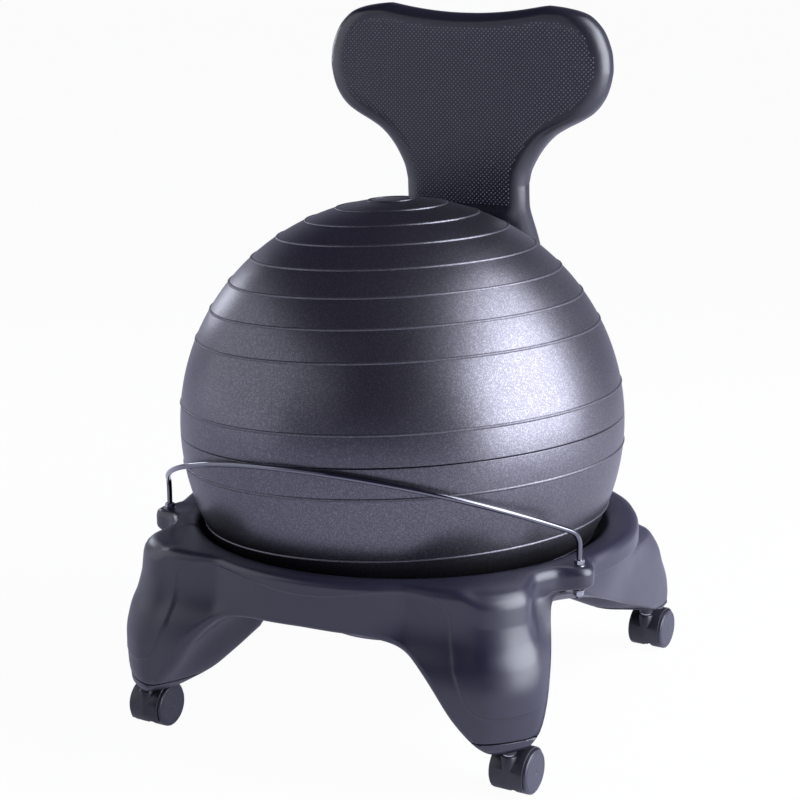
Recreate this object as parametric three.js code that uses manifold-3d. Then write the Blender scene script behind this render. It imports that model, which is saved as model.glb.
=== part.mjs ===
// Balance ball chair: a moulded four-legged base on twin-wheel casters, an air-filled ball
// seated in the base's ring, a bent wire bar that keeps the ball in, and a bolted backrest.
// Lengths are millimetres and +Z is up. The front of the chair faces -Y.

import * as THREE from "three";
import { mergeVertices } from "three/addons/utils/BufferGeometryUtils.js";
import Module from "manifold-3d";

const wasm = await Module();
wasm.setup();

const QUARTER = Math.PI / 2;
const TURN = 2 * Math.PI;
const FRONT = -QUARTER;
const REAR = QUARTER;

// Clearances shared by the whole chair
const fitGap = 0.3;
const runningGap = 0.3;
const cutOverrun = 2;

// Ball: PVC skin filled with air, with a push-in plug at its lower pole
const ballRadius = 252.6;
const ballCentreHeight = 333.4;
const ballWall = 3;
const ballSegments = 40;
const ballRings = 22;
const liningRings = 5;
const plugShankRadius = 4.6;
const plugShankLength = 12;
const plugFlangeRadius = 9;
const plugFlangeThickness = 2.2;

// Base ring: the seat, the rim and its lip
const seatRadius = 200;
const throatRadius = 175;
const throatDrop = 2;
const bowlWall = 11;
const recessRadius = 237;
const recessDepth = 27;
const rimHeight = 224;
const lipRadius = 264.5;
const lipRound = 11;
const lipDepth = 27;
const ringWallRadius = 258;

// Base plan: flat skirts between four legs whose outer faces cross the corners
const frontSkirtOut = 262;
const sideSkirtOut = 258;
const rearSkirtOut = 280;
const skirtInset = 4;
const skirtRound = 5;
const edgeRoundShare = 0.3;
const cornerPower = 26;

// Legs: one entry for the front pair and one for the rear pair
const frontLeg = {
  across: 219, along: -215, reach: 329, shoulderRound: 27, footHeight: 50,
  gussetRadius: 234, gussetHeight: 67, gussetSeatHeight: 92,
};
const rearLeg = {
  across: 219, along: 253, reach: 361, shoulderRound: 11, footHeight: 60,
  gussetRadius: 256, gussetHeight: 70, gussetSeatHeight: 96,
};
const legHalfWidth = 44;
const legBlend = 16;
const footRound = 7;
const footDepth = 46;
const flareRound = 20;
const gussetTopHeight = 110;
const gussetShare = 0.4;
const skirtInwardTurns = 2;
const gussetNear = 30;
const gussetFar = 120;
const frontFlare = 24;
const rearFlare = 97;
const rearPadInner = 240;
const rearPadMargin = 4;
const rearPadTop = 207;
const sliceReach = 400;
// Share of the flare that is drawn in, by share of the height from the foot to the rim
const frontFlareShares = [[0, 0.4], [0.05, 0.2], [0.14, 0.04], [0.24, 0], [0.36, 0], [0.53, 0.22],
  [0.66, 0.6], [0.86, 0.92], [1, 1]];
const rearFlareShares = [[0, 0.1], [0.05, 0.03], [0.12, 0], [0.24, 0.02], [0.35, 0.08], [0.45, 0.17],
  [0.52, 0.28], [0.62, 0.47], [0.74, 0.72], [0.84, 0.98], [1, 1]];
// Share of the side and rear skirts drawn in to the ring under its lip, by the same height share
const ringShoulderShares = [[0, 0], [0.5, 0.05], [0.7, 0.3], [0.84, 0.9], [1, 1]];
// Shares of the lip's quarter turn, and of the outer wall's height, at the section's points
const lipArcShares = [0, 0.25, 0.5, 0.75, 1];
const wallShares = [0, 0.2, 0.45, 0.7, 1];

// Skirt arches: height of each skirt's lower edge at its highest point
const frontArchHeight = 171;
const sideArchHeight = 194;
const rearArchHeight = 162;
const rearPadHeight = 104;
// Share of the way from mid skirt to the leg, then share of the arch's height over the foot
const frontArchShares = [[0, 1], [0.47, 1], [0.54, 0.93], [0.6, 0.85], [0.67, 0.69], [0.71, 0.5],
  [0.76, 0.35], [0.82, 0.22], [0.9, 0.06], [1, 0]];
const rearArchShares = [[0, 0], [0.36, 0], [0.46, 0.7], [0.55, 1], [0.64, 0.9], [0.74, 0.62],
  [0.84, 0.3], [0.93, 0.08], [1, 0]];
// Share of the way from the front leg to the rear leg, then share of the arch's height
const sideArchShares = [[0, 0], [0.06, 0.02], [0.095, 0.4], [0.12, 0.84], [0.155, 0.97], [0.2, 1],
  [0.27, 0.92], [0.39, 0.79], [0.61, 0.53], [0.77, 0.31], [0.87, 0.14], [0.95, 0.02], [1, 0]];
// Shares of each arch, from leg to leg, where the base has a section
const archAngleShares = [0, 0.035, 0.065, 0.09, 0.12, 0.16, 0.215, 0.29, 0.39, 0.5,
  0.61, 0.71, 0.785, 0.84, 0.88, 0.91, 0.935, 0.965];

// Ears that carry the ends of the support bar
const earAcross = 253;
const earAlong = -99.9;
const earRadius = 15;
const earThickness = 26;
const earDrop = 2;
const earRound = 5;
const earSides = 16;

// Support bar and its nuts
const barDiameter = 6;
const barAcross = 251.4;
const barRiseHeight = 257;
const barBendRadius = 14;
const barFrontReach = 258;
const barFrontHeight = 338;
const barTail = 2;
const barSides = 8;
const barArcSteps = 20;
const barBendSteps = 4;
const nutFlats = 10;
const nutSides = 6;
const nutHeight = 5;
const nutWasherRadius = 6.6;
const nutWasherThickness = 1.4;
const washerSides = 12;

// Casters: grip-ring stem, hood, axle and two wheels
const wheelRadius = 24;
const wheelWidth = 17;
const wheelRound = 2.5;
const wheelSegments = 20;
const wheelSideGap = 0.5;
const hubRecessRadius = 18.5;
const hubRecessDepth = 1.2;
const axleRadius = 3;
const axleEndCover = 3;
const axleSides = 12;
const casterTrail = 18.5;
const casterYaw = -5.5 * Math.PI / 180;
const hoodWall = 1.7;
const hoodWheelGap = 0.9;
const hoodWebThickness = 9;
const hoodCoverWidth = 14;
const hoodSkirtDrop = 4;
const hoodFloorGap = 8;
const hoodNeckRadius = 8.5;
const hoodNeckBottom = 18;
const hoodSegments = 16;
const stemRadius = 5.2;
const stemTop = 94;
const stemCollarRadius = 6.6;
const stemCollarThickness = 2;
const stemDepthInHood = 6;
const stemSides = 12;
const socketWall = 1.6;
const socketFlangeRadius = 8.3;
const socketFlangeThickness = 1;
const socketLengthOver = 3;
const swivelClearance = 1;
const swivelInner = 10.5;
const footCapDepth = 15;

// Backrest: a lobed pad on a spine that bends round the ball down to the rear skirt
const padFront = 168;
const padThickness = 38;
const padThickStart = 590;
const padThickEnd = 700;
const padTop = 792;
const padDip = 11;
const padDipHalfWidth = 100;
const padDipStart = 732;
const padHalfWidth = 178;
const padEdgeRound = 14;
const neckHeight = 582;
const spineThickness = 30;
const spineHalfWidth = 77;
const spineBallGap = 9;
const spineCornerSoftness = 22;
const spineLeanStart = 292;
const spineLeanEnd = 422;
const spineLeanRun = 60;
const spineBottom = 96;
const spineSteps = 15;
const spineCornerSteps = 3;
const spineEndRound = 8;
const padEndRound = 13;
const endRoundShares = [0, 0.3, 0.65, 1];
const padAcrossShares = [0.7, 0.35];
// Share of the pad's height over the neck, then share of the pad's half width
const padWidthShares = [[0, 0.43], [0.07, 0.447], [0.143, 0.486], [0.214, 0.54], [0.286, 0.622],
  [0.33, 0.705], [0.367, 0.79], [0.41, 0.87], [0.46, 0.925], [0.524, 0.967], [0.6, 0.992],
  [0.652, 1], [0.73, 0.993], [0.793, 0.972], [0.86, 0.935], [0.905, 0.892], [0.945, 0.835],
  [0.976, 0.765], [1, 0.67]];

// Backrest bolts, washers and threaded inserts
const boltRadius = 4;
const boltHeadRadius = 7.4;
const boltHeadHeight = 5;
const boltSides = 12;
const boltReachInBase = 16;
const boltAcross = 45;
const boltLowHeight = 128;
const boltHighHeight = 184;
const washerRadius = 9.5;
const washerThickness = 1.6;
const insertWall = 2;
const insertLength = 18;

// Finishes
const finishes = {
  base: new THREE.MeshStandardMaterial({ color: 0x3a3944, roughness: 0.45, metalness: 0 }),
  ball: new THREE.MeshStandardMaterial({ color: 0x5f5d69, roughness: 0.38, metalness: 0.25 }),
  backrest: new THREE.MeshStandardMaterial({ color: 0x2b2a34, roughness: 0.5, metalness: 0 }),
  caster: new THREE.MeshStandardMaterial({ color: 0x2c2b34, roughness: 0.4, metalness: 0 }),
  wheel: new THREE.MeshStandardMaterial({ color: 0x55555f, roughness: 0.5, metalness: 0 }),
  chrome: new THREE.MeshStandardMaterial({ color: 0xc8c8d0, roughness: 0.12, metalness: 1 }),
  zinc: new THREE.MeshStandardMaterial({ color: 0xb4b8bc, roughness: 0.3, metalness: 1 }),
  brass: new THREE.MeshStandardMaterial({ color: 0xb08d4a, roughness: 0.35, metalness: 1 }),
  plug: new THREE.MeshStandardMaterial({ color: 0xd8d8d6, roughness: 0.5, metalness: 0 }),
};

const chair = new THREE.Group();

function addPiece(name, geometry, finish, parent = chair) {
  const mesh = new THREE.Mesh(geometry, finish);
  mesh.name = name;
  parent.add(mesh);
}

const mix = (a, b, share) => a + (b - a) * share;
const clamp01 = (value) => Math.min(1, Math.max(0, value));

function smoothStep(low, high, value) {
  const share = clamp01((value - low) / (high - low));
  return share * share * (3 - 2 * share);
}

// Value of a table of [place, value] pairs, straight between its points
function lookUp(table, place) {
  const next = table.findIndex(([at]) => at >= place);
  if (next < 0) return table[table.length - 1][1];
  if (next === 0) return table[0][1];
  const [lowAt, low] = table[next - 1];
  const [highAt, high] = table[next];
  return mix(low, high, (place - lowAt) / (highAt - lowAt));
}

// Solids and geometries for joining and cutting
function toSolid(geometry) {
  const bare = geometry.clone();
  bare.deleteAttribute("normal");
  bare.deleteAttribute("uv");
  const merged = mergeVertices(bare);
  const mesh = new wasm.Mesh({
    numProp: 3,
    vertProperties: new Float32Array(merged.attributes.position.array),
    triVerts: new Uint32Array(merged.index.array),
  });
  return new wasm.Manifold(mesh);
}

function fromSolid(solid) {
  const mesh = solid.getMesh();
  const geometry = new THREE.BufferGeometry();
  geometry.setAttribute("position", new THREE.BufferAttribute(new Float32Array(mesh.vertProperties), 3));
  geometry.setIndex(new THREE.BufferAttribute(new Uint32Array(mesh.triVerts), 1));
  return geometry;
}

// Closed grid of rings: each ring is a closed loop of points, and the rings close on each other
// or end in caps that join each ring's two halves
function ringMesh(rings, closed) {
  const count = rings[0].length;
  const positions = rings.flat(2);
  const faces = [];
  const quads = closed ? rings.length : rings.length - 1;
  for (let i = 0; i < quads; i += 1) {
    const here = i * count;
    const there = ((i + 1) % rings.length) * count;
    for (let j = 0; j < count; j += 1) {
      const next = (j + 1) % count;
      faces.push(here + j, there + j, there + next, here + j, there + next, here + next);
    }
  }
  if (!closed) {
    for (let j = 0; j < count / 2 - 1; j += 1) {
      const [a, b, c, d] = [j, j + 1, count - 2 - j, count - 1 - j];
      const last = (rings.length - 1) * count;
      faces.push(a, b, c, a, c, d, last + a, last + c, last + b, last + a, last + d, last + c);
    }
  }
  const geometry = new THREE.BufferGeometry();
  geometry.setAttribute("position", new THREE.BufferAttribute(new Float32Array(positions), 3));
  geometry.setIndex(faces);
  return outward(geometry);
}

// The same geometry with its faces pointing out
function outward(geometry) {
  const { array } = geometry.attributes.position;
  const index = geometry.index.array;
  const corner = (k) => new THREE.Vector3().fromArray(array, index[k] * 3);
  let volume = 0;
  for (let k = 0; k < index.length; k += 3) {
    volume += corner(k).dot(corner(k + 1).cross(corner(k + 2)));
  }
  if (volume < 0) {
    for (let k = 0; k < index.length; k += 3) [index[k], index[k + 1]] = [index[k + 1], index[k]];
  }
  return geometry;
}

// A turned shape from [radius, height] points, about the Z axis
function turned(profile, segments) {
  const points = profile.map(([radius, height]) => new THREE.Vector2(radius, height));
  return outward(new THREE.LatheGeometry(points, segments).rotateX(QUARTER));
}

// A tube turned as a closed profile
function sleeve(inner, outer, low, high, segments) {
  return turned([[inner, low], [outer, low], [outer, high], [inner, high], [inner, low]], segments);
}

function rod(radius, low, high, segments) {
  return turned([[0, low], [radius, low], [radius, high], [0, high]], segments);
}

// Plan outline of the base: flat skirts and leg faces, rounded where they meet
const legSpots = [
  { name: "front_left", side: -1, spec: frontLeg },
  { name: "front_right", side: 1, spec: frontLeg },
  { name: "rear_right", side: 1, spec: rearLeg },
  { name: "rear_left", side: -1, spec: rearLeg },
].map((leg) => ({
  ...leg,
  x: leg.side * leg.spec.across,
  y: leg.spec.along,
  angle: Math.atan2(leg.spec.along, leg.side * leg.spec.across),
}));

const planFaces = [
  { angle: FRONT, out: frontSkirtOut },
  { angle: 0, out: sideSkirtOut },
  { angle: REAR, out: rearSkirtOut },
  { angle: Math.PI, out: sideSkirtOut },
  ...legSpots.map((leg) => ({ angle: leg.angle, out: leg.spec.reach })),
];

function planRadius(angle) {
  let sum = 0;
  for (const face of planFaces) {
    const facing = Math.cos(angle - face.angle);
    if (facing > 0) sum += (facing / face.out) ** cornerPower;
  }
  return sum ** (-1 / cornerPower);
}

function angleBetween(a, b) {
  return Math.abs(Math.atan2(Math.sin(a - b), Math.cos(a - b)));
}

// The nearest leg at an angle, how much of the section's wall is leg, and how much of its
// underside is the leg's gusset, both from 0 to 1
function legAt(angle) {
  const leg = legSpots.reduce((best, other) =>
    (angleBetween(angle, other.angle) < angleBetween(angle, best.angle) ? other : best));
  const offset = angleBetween(angle, leg.angle) * leg.spec.reach;
  const weight = 1 - smoothStep(legHalfWidth - legBlend / 2, legHalfWidth + legBlend / 2, offset);
  const spread = 1 - smoothStep(gussetNear, gussetFar, offset);
  return { leg, weight, spread };
}

const frontLegAngle = legSpots[1].angle;
const rearLegAngle = legSpots[2].angle;

// The same angle folded onto the right-hand half of the chair
const folded = (angle) => Math.atan2(Math.sin(angle), Math.abs(Math.cos(angle)));

// Height of the skirt's lower edge
function skirtHeight(angle) {
  const place = folded(angle);
  if (place < frontLegAngle) {
    const share = (place - FRONT) / (frontLegAngle - FRONT);
    return mix(frontLeg.footHeight, frontArchHeight, lookUp(frontArchShares, share));
  }
  if (place < rearLegAngle) {
    const share = (place - frontLegAngle) / (rearLegAngle - frontLegAngle);
    const foot = mix(frontLeg.footHeight, rearLeg.footHeight, share);
    return mix(foot, sideArchHeight, lookUp(sideArchShares, share));
  }
  const share = (REAR - place) / (REAR - rearLegAngle);
  const arch = mix(rearLeg.footHeight, rearArchHeight, lookUp(rearArchShares, share));
  return Math.max(arch, mix(rearPadHeight, rearLeg.footHeight, smoothStep(0, 1, share)));
}

// The seat's facets cut across its circle, so its corners stand off the ball by that much more
const widestShare = Math.max(
  ...archAngleShares.map((share, i) => (archAngleShares[i + 1] ?? 1) - share),
);
const widestStep = widestShare * Math.max(rearLegAngle - frontLegAngle, Math.PI - 2 * rearLegAngle,
  Math.PI + 2 * frontLegAngle);
const seatGap = fitGap + (seatRadius ** 2 / ballRadius) * (1 - Math.cos(widestStep / 2));

// Height of the ball's surface, grown by a gap, at a radius below its centre
const ballUnder = (radius, gap) =>
  ballCentreHeight - Math.sqrt((ballRadius + gap) ** 2 - radius ** 2);

// One closed section of the base through the ring's axis, as [radius, height] points
function baseSection(angle) {
  const { leg, weight, spread } = legAt(angle);
  const isRear = leg.spec === rearLeg;
  const isFrontSkirt = folded(angle) < frontLegAngle;
  const plan = planRadius(angle);
  const lip = mix(
    isFrontSkirt ? Math.max(lipRadius, plan - frontFlare) : lipRadius,
    isRear ? lipRadius : Math.max(lipRadius, plan - frontFlare),
    weight,
  );
  const round = mix(lipRound, leg.spec.shoulderRound, weight);
  const bottom = skirtHeight(angle);
  const edge = mix(mix(skirtRound, flareRound, spread), footRound, weight);

  // Seat that the ball rests on, then the recess wall and the rim's top
  const section = [
    [throatRadius, ballUnder(throatRadius, seatGap + throatDrop)],
    [seatRadius, ballUnder(seatRadius, seatGap)],
    [recessRadius - lipRound, rimHeight - recessDepth],
    [recessRadius, rimHeight - lipRound / 2],
    [recessRadius + lipRound / 2, rimHeight],
  ];
  for (const share of lipArcShares) {
    const arc = share * QUARTER;
    section.push([lip - round * (1 - Math.sin(arc)), rimHeight - round * (1 - Math.cos(arc))]);
  }

  // Outer wall from under the lip down to the skirt's edge
  const wallTop = rimHeight - mix(lipDepth, leg.spec.shoulderRound + lipRound / 2, weight);
  for (const share of wallShares) {
    const height = mix(wallTop, bottom + edge, share);
    const rise = clamp01((height - leg.spec.footHeight) / (rimHeight - leg.spec.footHeight));
    const legDraw = isRear
      ? rearFlare * lookUp(rearFlareShares, rise)
      : frontFlare * lookUp(frontFlareShares, rise);
    const overRing = Math.max(0, plan - ringWallRadius);
    const skirtDraw = isFrontSkirt
      ? Math.min(frontFlare, Math.max(0, plan - lipRadius)) * lookUp(frontFlareShares, rise)
      : overRing * lookUp(ringShoulderShares, rise);
    section.push([plan - mix(skirtInset + skirtDraw, legDraw, weight), height]);
  }

  // Rounded lower edge, then the underside back to the throat
  const [wallRadius] = section[section.length - 1];
  const footInner = leg.spec.reach - footDepth;
  const bowlUnder = ballUnder(seatRadius, seatGap) - bowlWall * 2;
  section.push([wallRadius - edge * edgeRoundShare, bottom + edge * edgeRoundShare]);
  section.push([wallRadius - edge, bottom]);
  section.push([mix(wallRadius - edge * skirtInwardTurns, footInner, weight), bottom]);
  section.push([mix(mix(wallRadius, seatRadius, gussetShare), leg.spec.gussetRadius, spread),
    mix(mix(bottom, bowlUnder, gussetShare), Math.max(bottom, leg.spec.gussetHeight), spread)]);
  section.push([seatRadius, mix(bowlUnder, leg.spec.gussetSeatHeight, spread)]);
  section.push([throatRadius, mix(ballUnder(throatRadius, seatGap + throatDrop) - bowlWall,
    gussetTopHeight + throatDrop, spread)]);
  return section;
}

// Angles of the sections: even shares of each arch between two legs
function baseAngles() {
  const stops = [...legSpots.map((leg) => leg.angle)].sort((a, b) => a - b);
  const angles = [];
  stops.forEach((start, i) => {
    const end = i + 1 < stops.length ? stops[i + 1] : stops[0] + TURN;
    for (const share of archAngleShares) angles.push(mix(start, end, share));
  });
  return angles;
}

const baseRings = baseAngles().map((angle) =>
  baseSection(angle).map(([radius, height]) =>
    [radius * Math.cos(angle), radius * Math.sin(angle), height]));
let base = toSolid(ringMesh(baseRings, true));

// A block between two corners, as a solid
function block(low, high) {
  const size = low.map((value, axis) => high[axis] - value);
  const geometry = new THREE.BoxGeometry(...size);
  return toSolid(geometry.translate(...low.map((value, axis) => value + size[axis] / 2)));
}

// A turned shape about a line along X or Y, from its profile along Z
const alongY = (geometry, x, z) => geometry.rotateX(-QUARTER).translate(x, 0, z);
const alongX = (geometry, y, z) => geometry.rotateY(QUARTER).translate(0, y, z);
const sides = [{ name: "left", side: -1 }, { name: "right", side: 1 }];

// Flat pad on the rear skirt, where the backrest's foot is bolted
const rearPadHalfWidth = spineHalfWidth + rearPadMargin;
base = base.add(block(
  [-rearPadHalfWidth, rearPadInner, rearPadHeight],
  [rearPadHalfWidth, rearSkirtOut, rearPadTop],
));

// Ears
const earTop = rimHeight - earDrop;
const earBottom = earTop - earThickness;
const barHoleRadius = barDiameter / 2 + fitGap;
for (const { side } of sides) {
  const ear = turned([
    [0, earBottom], [earRadius - earRound, earBottom], [earRadius, earBottom + earRound],
    [earRadius, earTop - earRound], [earRadius - earRound, earTop], [0, earTop],
  ], earSides).translate(side * earAcross, earAlong, 0);
  const hole = rod(barHoleRadius, earBottom - cutOverrun, earTop + cutOverrun, earSides)
    .translate(side * barAcross, earAlong, 0);
  base = base.add(toSolid(ear)).subtract(toSolid(hole));
}

// Caster sizes that the feet leave room for
const hoodRadius = wheelRadius + hoodWheelGap + hoodWall;
const webHalf = hoodWebThickness / 2;
const wheelInner = webHalf + wheelSideGap;
const wheelOuter = wheelInner + wheelWidth;
const coverHalf = wheelInner + hoodCoverWidth;
const hoodTop = wheelRadius + hoodRadius;
const swivelReach = Math.hypot(casterTrail + hoodRadius, wheelOuter) + swivelClearance;

// Threaded inserts in the rear pad, and the bores that hold them
const boltPlaces = [];
for (const [row, height] of [["lower", boltLowHeight], ["upper", boltHighHeight]]) {
  for (const { name, side } of sides) {
    boltPlaces.push({ name: `${row}_${name}`, x: side * boltAcross, z: height });
  }
}
const boltHoleRadius = boltRadius + fitGap;
const insertRadius = boltHoleRadius + insertWall;
for (const place of boltPlaces) {
  const insertEnd = rearSkirtOut - insertLength;
  const bore = rod(insertRadius + fitGap, insertEnd - fitGap, rearSkirtOut + cutOverrun, boltSides);
  base = base.subtract(toSolid(alongY(bore, place.x, place.z)));
  const insert = sleeve(boltHoleRadius, insertRadius, insertEnd, rearSkirtOut, boltSides);
  addPiece(`threaded_insert_${place.name}`, alongY(insert, place.x, place.z), finishes.brass);
}

// Bores for the caster sockets, room for the casters to swivel, then the foot caps, which are
// sliced off the lower ends of the legs
const socketInner = stemRadius + runningGap;
const socketOuter = socketInner + socketWall;
const socketTop = stemTop + socketLengthOver;
const floorBelowFeet = frontLeg.footHeight - cutOverrun;
for (const leg of legSpots) {
  const bore = rod(socketOuter + fitGap, floorBelowFeet, socketTop + fitGap, stemSides);
  base = base.subtract(toSolid(bore.translate(leg.x, leg.y, 0)));
}
for (const leg of legSpots) {
  const sweep = sleeve(swivelInner, swivelReach, floorBelowFeet, hoodTop + swivelClearance,
    hoodSegments);
  base = base.subtract(toSolid(sweep.translate(leg.x, leg.y, 0)));
}
for (const leg of legSpots) {
  const capTop = leg.spec.footHeight + footCapDepth;
  const low = [leg.side, leg.y].map((sign) => Math.min(0, Math.sign(sign) * sliceReach));
  low.push(floorBelowFeet);
  const high = low.map((value) => value + sliceReach);
  const slice = (top) => block(low, [high[0], high[1], top]);
  addPiece(`foot_cap_${leg.name}`, fromSolid(base.intersect(slice(capTop - fitGap / 2))), finishes.base);
  base = base.subtract(slice(capTop + fitGap / 2));
}
addPiece("base_shell", fromSolid(base), finishes.base);

// Caster sockets, pressed up into the legs through the foot caps
const socketLow = frontLeg.footHeight - fitGap - socketFlangeThickness;
for (const leg of legSpots) {
  const flangeTop = leg.spec.footHeight - fitGap;
  const socket = turned([
    [socketInner, socketLow], [socketFlangeRadius, socketLow], [socketFlangeRadius, flangeTop],
    [socketOuter, flangeTop], [socketOuter, socketTop], [socketInner, socketTop],
    [socketInner, socketLow],
  ], stemSides);
  addPiece(`caster_socket_${leg.name}`, socket.translate(leg.x, leg.y, 0), finishes.caster);
}

// Casters: every hood trails behind its stem the same way, as after a push forwards
const collarLow = socketLow - fitGap - stemCollarThickness;
const stemBottom = collarLow - stemDepthInHood;

function casterHood() {
  const drum = (radius, low, high) =>
    toSolid(alongX(rod(radius, low, high, hoodSegments), casterTrail, wheelRadius));
  const far = hoodRadius + casterTrail + cutOverrun;
  const below = wheelRadius - hoodRadius - cutOverrun;
  let hood = drum(hoodRadius, -coverHalf, coverHalf)
    .add(toSolid(rod(hoodNeckRadius, hoodNeckBottom, collarLow - fitGap, stemSides)));
  for (const { side } of sides) {
    const ends = [side * webHalf, side * (coverHalf + cutOverrun)];
    const [low, high] = [Math.min(...ends), Math.max(...ends)];
    hood = hood
      .subtract(drum(wheelRadius + hoodWheelGap, low, high))
      .subtract(block([low, -far, below], [high, far, wheelRadius - hoodSkirtDrop]));
  }
  hood = hood
    .subtract(block([-far, -far, below], [far, far, hoodFloorGap]))
    .subtract(toSolid(rod(stemRadius + fitGap, stemBottom - fitGap, collarLow + cutOverrun, stemSides)))
    .subtract(toSolid(rod(swivelInner, collarLow - fitGap, hoodTop + cutOverrun, stemSides)))
    .subtract(drum(axleRadius + fitGap, -coverHalf, coverHalf));
  return fromSolid(hood);
}

function casterWheel(side) {
  const boreEnd = wheelOuter - axleEndCover;
  const profile = [
    [0, boreEnd], [axleRadius + runningGap, boreEnd], [axleRadius + runningGap, wheelInner],
    [wheelRadius, wheelInner],
    [wheelRadius, wheelOuter - wheelRound], [wheelRadius - wheelRound, wheelOuter],
    [hubRecessRadius, wheelOuter], [hubRecessRadius, wheelOuter - hubRecessDepth],
    [0, wheelOuter - hubRecessDepth],
  ].map(([radius, place]) => [radius, side * place]);
  return alongX(turned(profile, wheelSegments), casterTrail, wheelRadius);
}

for (const leg of legSpots) {
  const caster = new THREE.Group();
  caster.position.set(leg.x, leg.y, 0);
  caster.rotation.z = casterYaw;
  chair.add(caster);
  const stem = turned([
    [0, stemBottom], [stemRadius, stemBottom], [stemRadius, collarLow],
    [stemCollarRadius, collarLow], [stemCollarRadius, collarLow + stemCollarThickness],
    [stemRadius, collarLow + stemCollarThickness], [stemRadius, stemTop], [0, stemTop],
  ], stemSides);
  const axleHalf = wheelOuter - axleEndCover - runningGap;
  const axle = alongX(rod(axleRadius, -axleHalf, axleHalf, axleSides), casterTrail, wheelRadius);
  addPiece(`caster_stem_${leg.name}`, stem, finishes.zinc, caster);
  addPiece(`caster_hood_${leg.name}`, casterHood(), finishes.caster, caster);
  addPiece(`caster_axle_${leg.name}`, axle, finishes.zinc, caster);
  for (const { name, side } of sides) {
    addPiece(`caster_wheel_${leg.name}_${name}`, casterWheel(side), finishes.wheel, caster);
  }
}

// Ball skin, open only at the valve, and the plug that closes it
function ballArc(radius, steps) {
  const valve = Math.asin(valveRadius / radius);
  const points = [[0, ballCentreHeight + radius]];
  for (let k = 1; k <= steps; k += 1) {
    const angle = mix(Math.PI, valve, k / steps);
    points.push([radius * Math.sin(angle), ballCentreHeight - radius * Math.cos(angle)]);
  }
  return points;
}
const valveRadius = plugShankRadius + fitGap;
const skin = ballArc(ballRadius, ballRings);
const lining = ballArc(ballRadius - ballWall, liningRings).reverse();
addPiece("ball", turned([...skin, ...lining], ballSegments), finishes.ball);

const valveHeight = ballCentreHeight - ballRadius;
const plugSeat = valveHeight - fitGap;
addPiece("valve_plug", turned([
  [0, plugSeat - plugFlangeThickness], [plugFlangeRadius, plugSeat - plugFlangeThickness],
  [plugFlangeRadius, plugSeat], [plugShankRadius, plugSeat],
  [plugShankRadius, plugSeat + plugShankLength], [0, plugSeat + plugShankLength],
], stemSides), finishes.plug);

// Support bar: up from one ear, round the front of the ball in a sloping plane, down to the other
function barPath() {
  const cornerAngle = Math.atan2(barAcross, -earAlong);
  const cornerReach = Math.hypot(barAcross, earAlong);
  const slope = (barFrontHeight - barRiseHeight) / (barFrontReach + earAlong);
  const onArc = (share) => {
    const reach = mix(barFrontReach, cornerReach, share * share);
    const x = reach * Math.sin(share * cornerAngle);
    const y = -reach * Math.cos(share * cornerAngle);
    return new THREE.Vector3(x, y, barRiseHeight + slope * (earAlong - y));
  };
  const corner = onArc(1);
  const bendShare = 1 - barBendRadius / (cornerReach * cornerAngle);
  const bendStart = onArc(bendShare);
  const bendEnd = corner.clone().setZ(barRiseHeight - barBendRadius);
  const bend = new THREE.QuadraticBezierCurve3(bendStart, corner, bendEnd);
  const half = [];
  for (let k = 0; k < barArcSteps / 2; k += 1) half.push(onArc((k / (barArcSteps / 2)) * bendShare));
  half.push(...bend.getPoints(barBendSteps));
  half.push(corner.clone().setZ(earTop), corner.clone().setZ(barEnd));
  const other = half.slice(1).map((point) => new THREE.Vector3(-point.x, point.y, point.z));
  return [...other.reverse(), ...half];
}

// A round bar through a list of points, with flat ends
function roundBar(path, radius, count) {
  let up = new THREE.Vector3(0, 1, 0);
  const rings = path.map((point, i) => {
    const before = path[Math.max(0, i - 1)];
    const after = path[Math.min(path.length - 1, i + 1)];
    const along = after.clone().sub(before).normalize();
    up = up.clone().addScaledVector(along, -up.dot(along)).normalize();
    const across = along.clone().cross(up);
    const ring = [];
    for (let k = 0; k < count; k += 1) {
      const turn = (k / count) * TURN;
      const corner = point.clone()
        .addScaledVector(up, radius * Math.cos(turn))
        .addScaledVector(across, radius * Math.sin(turn));
      ring.push(corner.toArray());
    }
    return ring;
  });
  return ringMesh(rings, false);
}

const upperWasherLow = earTop + fitGap;
const upperNutLow = upperWasherLow + nutWasherThickness + fitGap;
const lowerWasherLow = earBottom - fitGap - nutWasherThickness;
const lowerNutLow = lowerWasherLow - fitGap - nutHeight;
const barEnd = lowerNutLow - barTail;
addPiece("support_bar", roundBar(barPath(), barDiameter / 2, barSides), finishes.chrome);

const nutCorner = nutFlats / 2 / Math.cos(Math.PI / nutSides);
for (const { name, side } of sides) {
  const onBar = (outer, low, thickness, count) => {
    const hole = rod(barHoleRadius, low - cutOverrun, low + thickness + cutOverrun, washerSides);
    const ring = toSolid(rod(outer, low, low + thickness, count)).subtract(toSolid(hole));
    return fromSolid(ring).translate(side * barAcross, earAlong, 0);
  };
  const washer = (low) => onBar(nutWasherRadius, low, nutWasherThickness, washerSides);
  const nut = (low) => onBar(nutCorner, low, nutHeight, nutSides);
  addPiece(`bar_washer_upper_${name}`, washer(upperWasherLow), finishes.zinc);
  addPiece(`bar_nut_upper_${name}`, nut(upperNutLow), finishes.zinc);
  addPiece(`bar_washer_lower_${name}`, washer(lowerWasherLow), finishes.zinc);
  addPiece(`bar_nut_lower_${name}`, nut(lowerNutLow), finishes.zinc);
}

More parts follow.
